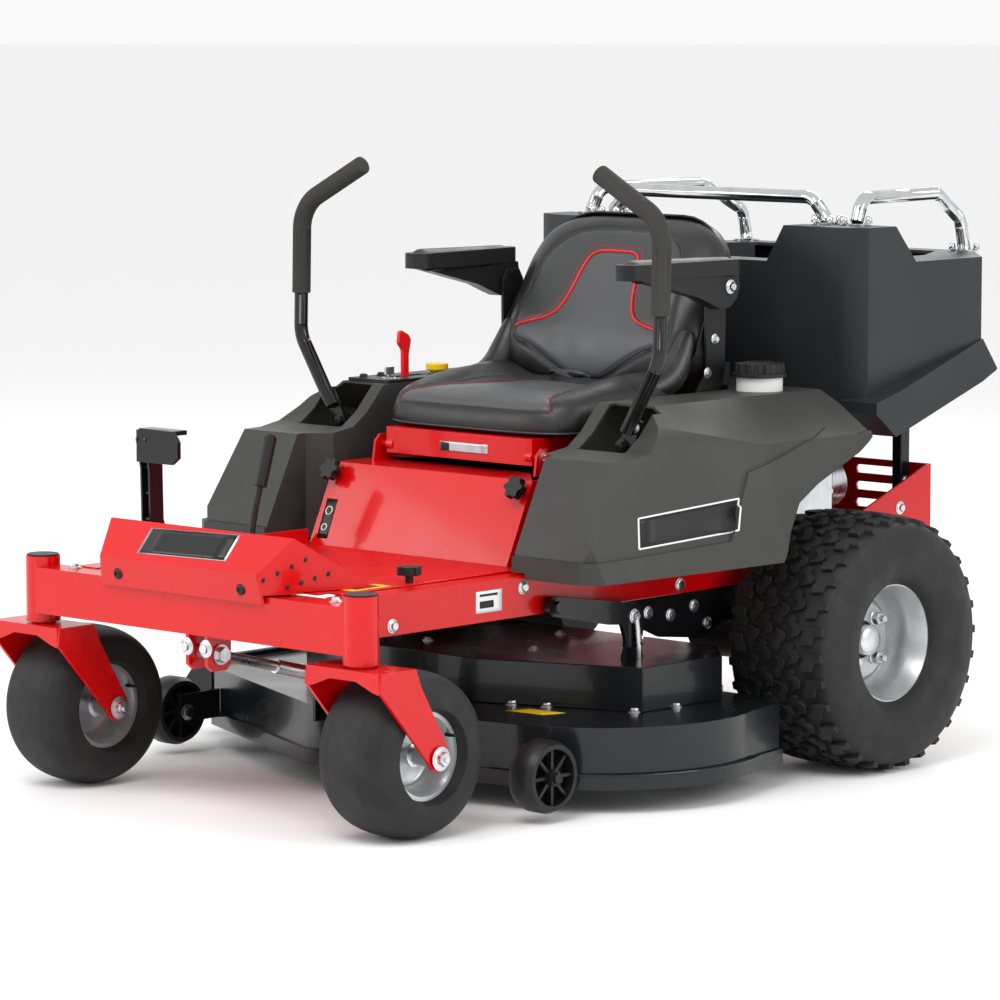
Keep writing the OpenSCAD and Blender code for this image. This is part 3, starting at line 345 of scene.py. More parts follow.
class Heap:
    """Collects many small solids into one mesh."""

    def __init__(self):
        self.verts, self.faces = [], []

    def add(self, verts, faces):
        n = len(self.verts)
        self.verts += verts
        self.faces += [tuple(i + n for i in f) for f in faces]

    def lathe(self, centre, direction, profile, steps=32, turn=0.0, wave=None):
        """Solid of revolution: profile is (radius, height) in mm from the axis' start."""
        rot = basis(Vector(direction))
        verts, faces, rings = [], [], []
        for r, h in profile:
            if r < 1e-6:
                rings.append([len(verts)])
                verts.append(centre + rot @ Vector((0, 0, h * MM)))
                continue
            ring = []
            for i in range(steps):
                a = turn + 2 * math.pi * i / steps
                k = wave(a) if wave else 1.0
                ring.append(len(verts))
                verts.append(centre + rot @ Vector(
                    (r * k * MM * math.cos(a), r * k * MM * math.sin(a), h * MM)))
            rings.append(ring)
        for a, b in zip(rings, rings[1:]):
            if len(a) == 1 and len(b) == 1:
                continue
            for i in range(steps):
                j = (i + 1) % steps
                if len(a) == 1:
                    faces.append((a[0], b[j], b[i]))
                elif len(b) == 1:
                    faces.append((a[i], a[j], b[0]))
                else:
                    faces.append((a[i], a[j], b[j], b[i]))
        for ring, back in ((rings[0], True), (rings[-1], False)):
            if len(ring) > 1:
                faces.append(tuple(reversed(ring)) if back else tuple(ring))
        self.add(verts, faces)

    def hex_bolt(self, p, direction, r=8.0, washer=True):
        """Hexagon flange bolt whose washer face lies at p."""
        h = 0.0
        if washer:
            self.lathe(p, direction, [(r * 1.65, 0), (r * 1.65, 1.0), (r * 1.5, 1.5), (0, 1.5)], 28)
            h = 1.3
        self.lathe(p, direction, [(r * 1.35, h), (r * 1.35, h + 1.2), (r * 1.12, h + 2.4),
                                  (0, h + 2.4)], 28)
        self.lathe(p, direction, [(r, h + 1.5), (r, h + r * 0.72), (r * 0.88, h + r * 0.86),
                                  (r * 0.5, h + r * 0.87), (0, h + r * 0.8)], 6, 0.3)

    def nut(self, p, direction, r=8.0, stud=5.0):
        """Flange nut with the end of its stud."""
        self.lathe(p, direction, [(r * 1.45, 0), (r * 1.4, 1.4), (r * 1.1, 2.4), (0, 2.4)], 28)
        self.lathe(p, direction, [(r, 1.5), (r, r * 0.85), (r * 0.85, r * 0.98), (0, r * 0.98)], 6, 0.2)
        self.lathe(p, direction, [(r * 0.5, r * 0.9), (r * 0.5, r * 0.9 + stud),
                                  (r * 0.4, r * 0.9 + stud + 1), (0, r * 0.9 + stud + 1)], 20)

    def carriage(self, p, direction, r=8.0):
        """Domed carriage or button head."""
        self.lathe(p, direction, [(r * 1.1, 0), (r * 1.1, 0.8), (r, r * 0.28), (r * 0.75, r * 0.46),
                                  (r * 0.42, r * 0.56), (r * 0.36, r * 0.36), (0, r * 0.34)], 28)

    def tube(self, points, r, sides=14, closed_ends=True, flat=1.0):
        """Swept round bar through points; r in mm, or a list of radii."""
        pts = [Vector(p) for p in points]
        n = len(pts)
        radii = r if isinstance(r, (list, tuple)) else [r] * n
        up = None
        rings, verts, faces = [], [], []
        for i, p in enumerate(pts):
            d = (pts[min(i + 1, n - 1)] - pts[max(i - 1, 0)]).normalized()
            if up is None:
                up = d.orthogonal().normalized()
            up = (up - d * up.dot(d)).normalized()
            side = d.cross(up)
            ring = []
            for k in range(sides):
                a = 2 * math.pi * k / sides
                ring.append(len(verts))
                verts.append(p + (up * math.cos(a) * flat + side * math.sin(a)) * radii[i] * MM)
            rings.append(ring)
        for a, b in zip(rings, rings[1:]):
            for k in range(sides):
                j = (k + 1) % sides
                faces.append((a[k], a[j], b[j], b[k]))
        if closed_ends:
            faces.append(tuple(reversed(rings[0])))
            faces.append(tuple(rings[-1]))
        self.add(verts, faces)

    def slab(self, corners, normal, t, lift=0.0):
        """Thin plate: outline points in order, thickness t mm along normal."""
        n = Vector(normal).normalized() * MM
        low = [Vector(c) + n * lift for c in corners]
        high = [c + n * t for c in low]
        k = len(low)
        faces = [tuple(reversed(range(k))), tuple(range(k, 2 * k))]
        faces += [(i, (i + 1) % k, k + (i + 1) % k, k + i) for i in range(k)]
        self.add(low + high, faces)

    def box(self, a, b, chamfer=0.0):
        """Box between corners, with chamfered vertical and horizontal edges."""
        lo = Vector(map(min, a, b))
        hi = Vector(map(max, a, b))
        bm = bmesh.new()
        bmesh.ops.create_cube(bm, size=1.0)
        for v in bm.verts:
            v.co = Vector([lo[i] + (v.co[i] + 0.5) * (hi[i] - lo[i]) for i in range(3)])
        if chamfer:
            bmesh.ops.bevel(bm, geom=bm.edges[:], offset=chamfer * MM, segments=2,
                            profile=0.5, affect="EDGES", clamp_overlap=True)
        self.add_bmesh(bm)

    def add_bmesh(self, bm):
        bm.verts.ensure_lookup_table()
        self.add([v.co.copy() for v in bm.verts], [tuple(v.index for v in f.verts) for f in bm.faces])
        bm.free()

    def build(self, name, body, material, look=None, sharp=38.0):
        return piece(name, self.verts, self.faces, body, material, sharp)


def spline(points, per=8):
    """Catmull-Rom curve through points."""
    pts = [Vector(p) for p in points]
    out = []
    for i in range(len(pts) - 1):
        p0, p1, p2 = pts[max(i - 1, 0)], pts[i], pts[i + 1]
        p3 = pts[min(i + 2, len(pts) - 1)]
        for k in range(per):
            t = k / per
            out.append(0.5 * ((2 * p1) + (p2 - p0) * t + (2 * p0 - 5 * p1 + 4 * p2 - p3) * t * t
                              + (3 * p1 - p0 - 3 * p2 + p3) * t ** 3))
    out.append(pts[-1])
    return out


# ---------------------------------------------------------------- tyres

def caster_tyre(side):
    """Smooth caster tyre: carcass with rim beads, sidewall ribs and fine moulding lines."""
    name = f"caster_tyre_{side}"
    lo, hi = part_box(name)
    centre, half, r = (lo + hi) / 2, (hi.x - lo.x) / 2 / MM, (hi.z - lo.z) / 2 / MM
    shape = []
    for a in range(-90, 91, 5):
        c, s = math.cos(math.radians(a)), math.sin(math.radians(a))
        k = abs(c) ** 0.46
        shape.append((80 + (r - 80) * k, half * math.copysign(abs(s) ** 0.82, s)))
    lines = []
    for (r0, h0), (r1, h1) in zip(shape, shape[1:]):
        lines.append((r0, h0))
        if 30 < abs((h0 + h1) / 2) < 68 and r0 > 95:
            for t in (0.38, 0.5, 0.62):
                dip = 0.55 if t == 0.5 else 0.0
                lines.append((r0 + (r1 - r0) * t - dip, h0 + (h1 - h0) * t))
    lines.append(shape[-1])
    ring = [(66.4, -50)] + [(74, -56)] + lines + [(74, 56), (66.4, 50)]
    ring += [(76, 44), (90, 50), (r - 12, 30), (r - 12, -30), (90, -50), (76, -44)]
    heap = Heap()
    closed_lathe(heap, centre, X, ring, 128)
    tyre = heap.build(f"tyre_caster_{side}", f"caster_wheel_{side}", TYRE, name, 50)
    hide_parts(name)


def closed_lathe(heap, centre, direction, ring, steps):
    """Revolves a closed outline, (radius, distance along the axis) in mm."""
    rot = basis(Vector(direction))
    verts, faces = [], []
    for i in range(steps):
        a = 2 * math.pi * i / steps
        for r, h in ring:
            verts.append(centre + rot @ Vector((r * MM * math.cos(a), r * MM * math.sin(a), h * MM)))
    k = len(ring)
    for i in range(steps):
        j = (i + 1) % steps
        for m in range(k):
            n = (m + 1) % k
            faces.append((i * k + m, j * k + m, j * k + n, i * k + n))
    heap.add(verts, faces)


def rear_tyre(side):
    """Turf tyre: carcass plus staggered wavy tread blocks and shoulder lugs."""
    name = f"rear_tyre_{side}"
    lo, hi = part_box(name)
    centre, half, top = (lo + hi) / 2, (hi.x - lo.x) / 2 / MM, (hi.z - lo.z) / 2 / MM
    depth = 8.5

    def outer(v):
        """Tread surface radius at v mm from the tyre's middle."""
        u = min(abs(v) / half, 1.0)
        return top - 5.5 * (u / 0.82) ** 2 if u < 0.82 else top - 5.5 - 260 * (u - 0.82) ** 1.45

    shape = []
    edge = 0.80 * half
    for v in np.linspace(-edge, edge, 17):
        shape.append((outer(v) - depth, v))
    wall = [(edge + 8, top - 17), (edge + 15, top - 27), (half - 5, top - 46), (half - 2, top - 66),
            (half - 2.5, top - 84), (half - 9, top - 104), (edge + 4, top - 118),
            (edge - 6, 107), (edge - 16, 102.4)]
    right = [(r, v) for v, r in wall]
    left = [(r, -v) for r, v in reversed(right)]
    ring = left + shape + right
    ring += [(108, edge - 30), (140, half - 22), (top - 26, edge - 20), (top - 26, 20 - edge),
             (140, 22 - half), (108, 30 - edge)]
    heap = Heap()
    closed_lathe(heap, centre, X, ring, 180)

    def block(outline, angle):
        """Tread block from an outline of (along, across) in mm on the tread."""
        k = len(outline)
        mu = sum(u for u, _ in outline) / k
        mv = sum(v for _, v in outline) / k
        verts = []
        for sink, inset in ((depth + 1.5, 0.0), (0.8, 0.0), (0.0, 0.8)):
            for u, v in outline:
                d = math.hypot(u - mu, v - mv) or 1.0
                uu, vv = u - (u - mu) / d * inset, v - (v - mv) / d * inset
                r = (outer(vv) - sink) * MM
                a = angle + uu / top
                verts.append(centre + Vector((vv * MM, r * math.sin(a), r * math.cos(a))))
        faces = []
        for ring_a, ring_b in ((0, k), (k, 2 * k)):
            for i in range(k):
                j = (i + 1) % k
                faces.append((ring_a + i, ring_a + j, ring_b + j, ring_b + i))
        faces.append(tuple(range(2 * k, 3 * k)))
        heap.add(verts, faces)

    count = 30
    pitch = 2 * math.pi * top / count
    wave = [(-0.44, -13), (-0.30, -3), (-0.10, -1), (0.04, -9), (0.20, -15), (0.36, -13),
            (0.44, -4), (0.34, 3), (0.18, 1), (0.06, 9), (-0.10, 15), (-0.30, 12)]
    for n in range(count):
        for row, v0 in enumerate((-45, -15, 15, 45)):
            turn = (n + 0.5 * (row % 2)) * pitch / top
            flip = 1 if row % 2 else -1
            block([(u * pitch * flip * 0.98, v0 + v * 0.92) for u, v in
                   (wave if flip > 0 else wave[::-1])], turn)
        for s in (-1, 1):
            lug = [(-0.40, 64), (-0.10, 62), (0.04, 70), (0.30, 72), (0.34, 86), (0.30, 104),
                   (0.02, 105), (-0.04, 88), (-0.34, 84)]
            turn = (n + (0.25 if s > 0 else 0.75)) * pitch / top
            block([(u * pitch, s * v) for u, v in (lug if s > 0 else lug[::-1])], turn)
    tyre = heap.build(f"tyre_rear_{side}", f"drive_wheel_{side}", TYRE, name, 35)
    bm = bmesh.new()
    bm.from_mesh(tyre.data)
    bmesh.ops.recalc_face_normals(bm, faces=bm.faces)
    bm.to_mesh(tyre.data)
    bm.free()
    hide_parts(name)


for s in ("left", "right"):
    caster_tyre(s)
    rear_tyre(s)


# ---------------------------------------------------------------- upholstery

def leather(name, base, zones, rough=0.40):
    """Grained vinyl whose colour changes at zone borders held as signed distances in mm."""
    m = Nodes(name, base, rough, Coat_Weight=0.10, Coat_Roughness=0.35,
              Specular_IOR_Level=0.4)
    for attribute, colour in zones:
        node = m.new("ShaderNodeAttribute")
        node.attribute_name = attribute
        m.tint(node.outputs["Fac"], colour, -0.6, 0.6)
        near = m.new("ShaderNodeMath")
        near.operation = "ABSOLUTE"
        m.link(node.outputs["Fac"], near.inputs[0])
        m.bump(m.ramp(near.outputs[0], 0.0, 3.2), 0.9, 0.0016)
    m.tint(m.noise(9.0, 5.0), tuple(c * 1.9 + 0.012 for c in base), 0.52, 1.7)
    m.gloss(m.noise(25.0, 5.0), rough * 0.85, rough * 1.2)
    m.bump(m.noise(38.0, 3.0), 0.16, 0.0016)
    m.bump(m.cells(560.0), 0.35, 0.0003)
    return m.mat


def border_distance(points, outline):
    """Signed distance of 2D points from a closed outline, positive inside."""
    p = np.asarray(points)
    a = np.asarray(outline, float)
    b = np.roll(a, -1, axis=0)
    best = np.full(len(p), 1e9)
    inside = np.zeros(len(p), bool)
    for (ax, ay), (bx, by) in zip(a, b):
        ex, ey = bx - ax, by - ay
        t = np.clip(((p[:, 0] - ax) * ex + (p[:, 1] - ay) * ey) / (ex * ex + ey * ey), 0, 1)
        best = np.minimum(best, np.hypot(p[:, 0] - ax - t * ex, p[:, 1] - ay - t * ey))
        if ay != by:
            cross = (p[:, 0] - ax) * ey - (p[:, 1] - ay) * ex
            up = (ay <= p[:, 1]) & (by > p[:, 1]) & (cross < 0)
            down = (ay > p[:, 1]) & (by <= p[:, 1]) & (cross > 0)
            inside ^= up | down
    return np.where(inside, best, -best)


def smooth_outline(half_points, per=10):
    """Closed smooth outline from the points of its right half, top to bottom."""
    right = spline([Vector((x, y, 0)) for x, y in half_points], per)
    left = [Vector((-p.x, p.y, 0)) for p in reversed(right)]
    pts = right + left
    out = [pts[0]]
    for p in pts[1:]:
        if (p - out[-1]).length > 0.5:
            out.append(p)
    if (out[0] - out[-1]).length < 0.5:
        out.pop()
    return [(p.x, p.y) for p in out]


def pillow(outline, front, back, shoulder, place, rings=26):
    """Closed cushion: front and back heights over an outline, rounded at its rim.

    place(u, v, h) puts outline coordinates and height, in mm, into the row frame.
    """
    cu = sum(u for u, _ in outline) / len(outline)
    cv = sum(v for _, v in outline) / len(outline)
    verts, faces = [], []
    loops = []
    n = len(outline)

    def loop(t, height):
        start = len(verts)
        for u, v in outline:
            uu, vv = cu + (u - cu) * t, cv + (v - cv) * t
            gap = math.hypot(u - cu, v - cv) * (1 - t)
            verts.append(place(uu, vv, height(uu, vv, gap)))
        loops.append(start)

    def top(u, v, gap):
        k = min(gap / shoulder, 1.0)
        full, rim = front(u, v), back(u, v)
        edge = rim + (full - rim) * 0.42
        return edge + (full - edge) * math.sqrt(max(0.0, 1 - (1 - k) ** 2.3))

    ts = [0.02 + 0.98 * (i / rings) ** 0.8 for i in range(rings + 1)]
    for t in ts:
        loop(t, top)
    for k, s in ((0.66, 1.006), (0.33, 1.0), (0.0, 0.985)):
        loop(s, lambda u, v, gap, k=k: back(u, v) + (front(u, v) - back(u, v)) * 0.42 * k)
    for t in (0.8, 0.5, 0.2, 0.02):
        loop(t, lambda u, v, gap: back(u, v))
    for a, b in zip(loops, loops[1:]):
        for i in range(n):
            j = (i + 1) % n
            faces.append((a + i, a + j, b + j, b + i))
    faces.append(tuple(range(n))[::-1])
    faces.append(tuple(loops[-1] + i for i in range(n)))
    return verts, faces


def puff(obj, hold, cap, pressure=4.0, voxel=0.006):
    """Swells a closed mesh by cloth pressure; hold(points) gives 0..1 pin weights, cap in mm."""
    scene = bpy.context.scene
    remesh = obj.modifiers.new("remesh", "REMESH")
    remesh.mode = "VOXEL"
    remesh.voxel_size = voxel
    deps = bpy.context.evaluated_depsgraph_get()
    dense = bpy.data.meshes.new_from_object(obj.evaluated_get(deps))
    obj.modifiers.remove(remesh)
    old = obj.data
    obj.data = dense
    bpy.data.meshes.remove(old)
    start = np.array([v.co for v in dense.vertices])
    group = obj.vertex_groups.new(name="held")
    for i, w in enumerate(hold(start)):
        group.add([i], float(w), "REPLACE")
    cloth = obj.modifiers.new("cloth", "CLOTH")
    cloth.settings.use_pressure = True
    cloth.settings.uniform_pressure_force = pressure
    cloth.settings.effector_weights.gravity = 0.0
    cloth.settings.vertex_group_mass = "held"
    cloth.settings.tension_stiffness = 25
    cloth.settings.compression_stiffness = 25
    cloth.settings.quality = 5
    cloth.point_cache.frame_start = 1
    cloth.point_cache.frame_end = 20
    for f in range(1, 21):
        scene.frame_set(f)
    deps = bpy.context.evaluated_depsgraph_get()
    swollen = obj.evaluated_get(deps).to_mesh()
    after = np.array([v.co for v in swollen.vertices])
    obj.evaluated_get(deps).to_mesh_clear()
    obj.modifiers.remove(cloth)
    obj.vertex_groups.clear()
    scene.frame_set(1)
    move = after - start
    far = np.linalg.norm(move, axis=1)
    start = start + move * np.minimum(1.0, cap * MM / np.maximum(far, 1e-9))[:, None]
    for v, co in zip(dense.vertices, start):
        v.co = co
    bm = bmesh.new()
    bm.from_mesh(dense)
    for _ in range(4):
        bmesh.ops.smooth_vert(bm, verts=bm.verts, factor=0.5, use_axis_x=True,
                              use_axis_y=True, use_axis_z=True)
    bmesh.ops.recalc_face_normals(bm, faces=bm.faces)
    for f in bm.faces:
        f.smooth = True
    bm.to_mesh(dense)
    bm.free()
    sub = obj.modifiers.new("fine", "SUBSURF")
    sub.levels = sub.render_levels = 1


def mark(obj, name, values):
    attribute = obj.data.attributes.new(name, "FLOAT", "POINT")
    attribute.data.foreach_set("value", np.asarray(values, np.float32))


def stitches(heap, curve, tree, aim, step=6.5, length=4.4, r=0.55, lift=0.3):
    """Row of thread stitches laid on a surface along a curve of row-frame points."""
    gone, last = 0.0, curve[0]
    for a, b in zip(curve, curve[1:]):
        run = (b - a).length
        while gone + run > step * MM and run > 1e-9:
            a = a + (b - a) * ((step * MM - gone) / run)
            run = (b - a).length
            gone = 0.0
            d = (b - a).normalized() if run > 1e-9 else (b - last).normalized()
            ends = []
            for k in (-0.5, 0.0, 0.5):
                hit = tree.ray_cast(a + d * length * MM * k - aim * 0.15, aim, 0.4)
                if hit[0] is None:
                    break
                ends.append(hit[0] - aim * (lift + (0.25 if k == 0 else 0.0)) * MM)
            if len(ends) == 3:
                heap.tube(ends, r, 6)
        gone += run
        last = a


def laid(curve, tree, aim, lift):
    """Curve dropped along aim onto a surface, then raised by lift mm."""
    out = []
    for p in curve:
        hit = tree.ray_cast(p - aim * 0.15, aim, 0.4)
        if hit[0] is not None:
            out.append(hit[0] - aim * lift * MM)
    return out


def surface(obj):
    deps = bpy.context.evaluated_depsgraph_get()
    return BVHTree.FromObject(obj, deps)


def lerp_table(table, x):
    return float(np.interp(x, [a for a, _ in table], [b for _, b in table]))


GREY = (0.058, 0.062, 0.066)
UPPER_GREY = (0.034, 0.035, 0.036)
BLACK_VINYL = (0.011, 0.011, 0.012)
THREAD_RED = moulded("red_thread", (0.55, 0.012, 0.016), 0.6, 900.0, 0.0001, 1.2)
THREAD_BLACK = moulded("black_thread", (0.045, 0.045, 0.045), 0.6, 900.0, 0.0001, 1.2)
PIPING = moulded("red_piping", (0.72, 0.010, 0.014), 0.34, 600.0, 0.0001, 1.1)


def seat_cushion():
    centre_z = [(-492, 656), (-462, 668), (-400, 674), (-330, 676), (-250, 677), (-150, 682)]
    side_z = [(-492, 656), (-455, 668), (-386, 682), (-350, 690), (-315, 695), (-240, 702),
              (-150, 708)]
    half = [(0, -488), (110, -487), (178, -476), (216, -446), (232, -396), (237, -300),
            (236, -210), (224, -168), (190, -152), (90, -150), (0, -150)]
    outline = smooth_outline(half, 7)

    def top(u, v):
        k = min(max((abs(u) - 96) / 110, 0.0), 1.0)
        k = k * k * (3 - 2 * k)
        sit = 5.0 * math.exp(-((abs(u) - 86) / 60) ** 2 - ((v + 320) / 95) ** 2)
        return lerp_table(centre_z, v) * (1 - k) + lerp_table(side_z, v) * k - sit

    verts, faces = pillow(outline, top, lambda u, v: 605.0, 38.0, lambda u, v, h: at(u, v, h))
    obj = piece("seat_cushion", verts, faces, None, VINYL)
    insert = [(-206, -520), (-196, -480), (-152, -432), (-124, -366), (-112, -296), (-92, -232),
              (92, -232), (112, -296), (124, -366), (152, -432), (196, -480), (206, -520)]

    def hold(p):
        z = p[:, 2] / MM
        xy = np.stack([p[:, 0], p[:, 1] - REAR_AXLE_Y], 1) / MM
        seam = np.exp(-(border_distance(xy, insert) / 7.0) ** 2)
        return np.clip(np.where(z < 616, 1.0, seam), 0.02, 1.0)

    puff(obj, hold, 6.0)
    mesh = obj.data
    p = np.array([v.co for v in mesh.vertices])
    xy = np.stack([p[:, 0], p[:, 1] - REAR_AXLE_Y], 1) / MM
    z = p[:, 2] / MM
    border = np.minimum(border_distance(xy, insert), (z - 651.0) * 1.2)
    # sewn channels sink into the foam
    normals = np.array([v.normal for v in mesh.vertices])
    p -= normals * (2.6 * np.exp(-(border / 5.0) ** 2) * MM)[:, None]
    for v, co in zip(mesh.vertices, p):
        v.co = co
    mark(obj, "insert", border)
    mark(obj, "welt", z - 612.0)
    mesh.materials.clear()
    mesh.materials.append(leather("seat_vinyl", BLACK_VINYL, [("insert", GREY)]))
    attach(obj, "seat")
    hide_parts("seat_base")
    tree = surface(obj)
    red, dark = Heap(), Heap()
    down = -Z
    for s in (-1, 1):
        line = spline([at(s * x, y, 720) for x, y in
                       ((194, -474), (157, -432), (130, -366), (118, -296), (100, -240))], 30)
        stitches(red, line, tree, down)
        line = spline([at(s * x, y, 720) for x, y in
                       ((208, -470), (168, -426), (142, -362), (130, -292), (112, -240))], 30)
        stitches(dark, line, tree, down)
    front = [at(x, -560, 646.5) for x in range(-186, 187, 3)]
    stitches(dark, front, tree, Y)
    red.build("seat_cushion_red_stitching", "seat", THREAD_RED, "seat_base")
    dark.build("seat_cushion_stitching", "seat", THREAD_BLACK, "seat_base")
    welt = Heap()
    rim = [at(u * 1.001, -321 + (v + 321) * 1.001, 611) for u, v in outline]
    welt.tube(rim + rim[:2], 2.6, 10)
    welt.build("seat_cushion_welt", "seat", VINYL, "seat_base")


BACK_UP = Vector((0, 0.4384, 0.8988))
BACK_IN = Vector((0, 0.8988, -0.4384))
BACK_FOOT = at(0, -118, 690)


def on_back(u, v, h):
    """Point of the backrest: u across, v up the lean, h through it from front to back."""
    return BACK_FOOT + (X * u + BACK_UP * v + BACK_IN * h) * MM


def seat_backrest():
    half = [(0, 300), (86, 299), (146, 293), (192, 272), (220, 236), (234, 180), (237, 90),
            (234, 30), (218, -6), (176, -28), (80, -42), (0, -44)]
    outline = smooth_outline(half, 7)
    depth = [(-44, 46), (-12, 58), (20, 68), (60, 74), (120, 73), (190, 69), (250, 58), (300, 40)]

    def front(u, v):
        side = min(max((abs(u) - 150) / 80, 0.0), 1.0)
        hollow = 9.0 * math.exp(-(u / 105) ** 2 - ((v - 110) / 120) ** 2)
        return -(lerp_table(depth, v) - 7 - hollow) * (1 - 0.30 * side * side) - 7

    verts, faces = pillow(outline, front, lambda u, v: -7.0, 72.0, on_back)
    obj = piece("seat_backrest", verts, faces, None, VINYL)
    arch_half = [(0, 213), (20, 213), (40, 211), (55, 203), (63, 188), (70, 160), (77, 124),
                 (85, 100), (97, 82), (118, 70), (146, 62), (184, 52)]
    arch = [(-x, z) for x, z in reversed(arch_half)] + arch_half[1:] + [
        (190, 30), (142, 20), (36, -34), (-36, -34), (-142, 20), (-190, 30)]
    face_half = [(0, 262), (70, 260), (118, 246), (152, 214), (172, 160), (182, 100), (184, 40),
                 (142, 18), (40, -30), (0, -30)]
    face = smooth_outline(face_half, 6)

    def flat(p):
        d = p - np.array(BACK_FOOT)
        return np.stack([d[:, 0], d @ np.array(BACK_UP)], 1) / MM, d @ np.array(BACK_IN) / MM

    def hold(p):
        uv, h = flat(p)
        seam = np.exp(-(np.minimum(abs(border_distance(uv, arch)),
                                   abs(border_distance(uv, face))) / 7.0) ** 2)
        return np.clip(np.where(h > -14, 1.0, seam), 0.02, 1.0)

    puff(obj, hold, 7.0)
    mesh = obj.data
    p = np.array([v.co for v in mesh.vertices])
    uv, h = flat(p)
    seen = np.where(h < -13, 1.0, 0.0)
    inner = np.where(seen > 0, border_distance(uv, arch), -30.0)
    outer = np.where(seen > 0, border_distance(uv, face), -30.0)
    normals = np.array([v.normal for v in mesh.vertices])
    sink = 2.4 * np.exp(-(inner / 5.0) ** 2) + 3.0 * np.exp(-(outer / 5.5) ** 2)
    p -= normals * (sink * seen * MM)[:, None]
    for v, co in zip(mesh.vertices, p):
        v.co = co
    mark(obj, "face", outer)
    mark(obj, "insert", np.minimum(inner, outer + 2))
    mesh.materials.clear()
    mesh.materials.append(leather("backrest_vinyl", BLACK_VINYL,
                                  [("face", UPPER_GREY), ("insert", GREY)]))
    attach(obj, "seat")
    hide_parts("seat_back")
    tree = surface(obj)
    piping, red, dark = Heap(), Heap(), Heap()
    pts = [(-x, z) for x, z in reversed(arch_half)] + arch_half[1:]
    line = laid(spline([on_back(x, z, -120) for x, z in pts], 6), tree, BACK_IN, 0.9)
    piping.tube(line, 2.3, 10)
    grown = [(x * 1.0 + math.copysign(9, x) * min(abs(x) / 40, 1), z + (9 if abs(x) < 60 else 6))
             for x, z in pts]
    stitches(red, spline([on_back(x, z, -120) for x, z in grown], 8), tree, BACK_IN, r=0.5)
    for grow in (-7.0, 7.0):
        ring = [on_back(u + math.copysign(grow, u) * 0.8, v + grow * (0.8 if v > 180 else 0.2), -120)
                for u, v in face if v > 24]
        left = [q for q in ring if (q - BACK_FOOT).x < 0]
        right = [q for q in ring if (q - BACK_FOOT).x >= 0]
        for part in (left, right):
            stitches(dark, part, tree, BACK_IN, r=0.5)
    for s in (-1, 1):
        stitches(dark, spline([on_back(s * x, z, -120) for x, z in ((140, 27), (90, 4), (44, -20))],
                              20), tree, BACK_IN, r=0.5)
    piping.build("backrest_piping", "seat", PIPING, "seat_back")
    red.build("backrest_red_stitching", "seat", THREAD_RED, "seat_back")
    dark.build("backrest_stitching", "seat", THREAD_BLACK, "seat_back")


def seat_gusset():
    """Padded roll that joins cushion and backrest at both sides, and the pull strap."""
    for s, side in ((-1, "right"), (1, "left")):
        heap = Heap()
        path = spline([at(s * 206, -262, 672), at(s * 209, -215, 676), at(s * 212, -176, 694),
                       at(s * 214, -150, 728), at(s * 214, -128, 772)], 10)
        n = len(path)
        radii = [10 + 17 * math.sin(math.pi * min(1.0, (i + 1) / (n + 1))) ** 0.6 for i in range(n)]
        heap.tube(path, radii, 28)
        roll = heap.build(f"seat_side_roll_{side}", "seat", VINYL, "seat_base", 80)
    heap = Heap()
    strap = [(-46, -206, 689), (-40, -214, 694), (-24, -222, 697), (0, -226, 696), (24, -222, 697),
             (40, -214, 694), (46, -206, 689)]
    heap.tube(spline([at(*p) for p in strap], 8), 2.2, 10, flat=2.6)
    heap.build("seat_pull_strap", "seat", VINYL, "seat_base", 80)


seat_cushion()
seat_backrest()
seat_gusset()

# ---------------------------------------------------------------- fasteners, badges, linkage

_trees = {}


def node_tree(name):
    if name not in _trees:
        _trees[name] = surface(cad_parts[name])
    return _trees[name]


def snap(name, p, n, reach=90):
    """Point of a CAD node's surface met from p + n along -n; p itself when nothing is met."""
    n = Vector(n).normalized()
    hit = node_tree(name).ray_cast(p + n * reach * MM, -n, 2.2 * reach * MM)
    return (hit[0], hit[1]) if hit[0] is not None else (p, n)


def fasten(piece_name, node, body, spots, kind="hex_bolt", r=7.0, material=None, reach=40):
    """Row of fasteners on a CAD node; spots are (point in mm, outward direction)."""
    heap = Heap()
    for p, n in spots:
        foot, _ = snap(node, at(*p), n, reach)
        getattr(heap, kind)(foot, Vector(n), r)
    heap.build(piece_name, body, material or ZINC, node)


def patch(piece_name, node, body, corners, normal, material, lift=0.35, t=0.5, cuts=6):
    """Thin label laid on a CAD node between four corners, in mm."""
    c = [at(*p) for p in corners]
    grid, faces = [], []
    for i in range(cuts + 1):
        for j in range(cuts + 1):
            u, v = i / cuts, j / cuts
            q = (c[0] * (1 - u) + c[1] * u) * (1 - v) + (c[3] * (1 - u) + c[2] * u) * v
            foot, n = snap(node, q, normal)
            grid.append(foot + n * lift * MM)
    for i in range(cuts):
        for j in range(cuts):
            a = i * (cuts + 1) + j
            faces.append((a, a + cuts + 1, a + cuts + 2, a + 1))
    obj = piece(piece_name, grid, faces, body, material, 60)
    thick = obj.modifiers.new("thick", "SOLIDIFY")
    thick.thickness = t * MM
    thick.offset = 0
    return obj


def inset(corners, k):
    """The four corners drawn towards their middle."""
    m = [sum(p[i] for p in corners) / 4 for i in range(3)]
    return [tuple(m[i] + (p[i] - m[i]) * k for i in range(3)) for p in corners]


def turned(piece_name, body, material, look, parts):
    """Lathed solids in one piece; parts are (centre in mm, axis, profile, steps)."""
    heap = Heap()
    for centre, axis, profile, steps in parts:
        heap.lathe(at(*centre), axis, profile, steps)
    heap.build(piece_name, body, material, look)


def bolts_at(piece_name, body, look, spots, direction, r):
    """Row of hexagon bolts at points in mm that need no snapping."""
    heap = Heap()
    for p in spots:
        heap.hex_bolt(at(*p), direction, r)
    heap.build(piece_name, body, ZINC, look)


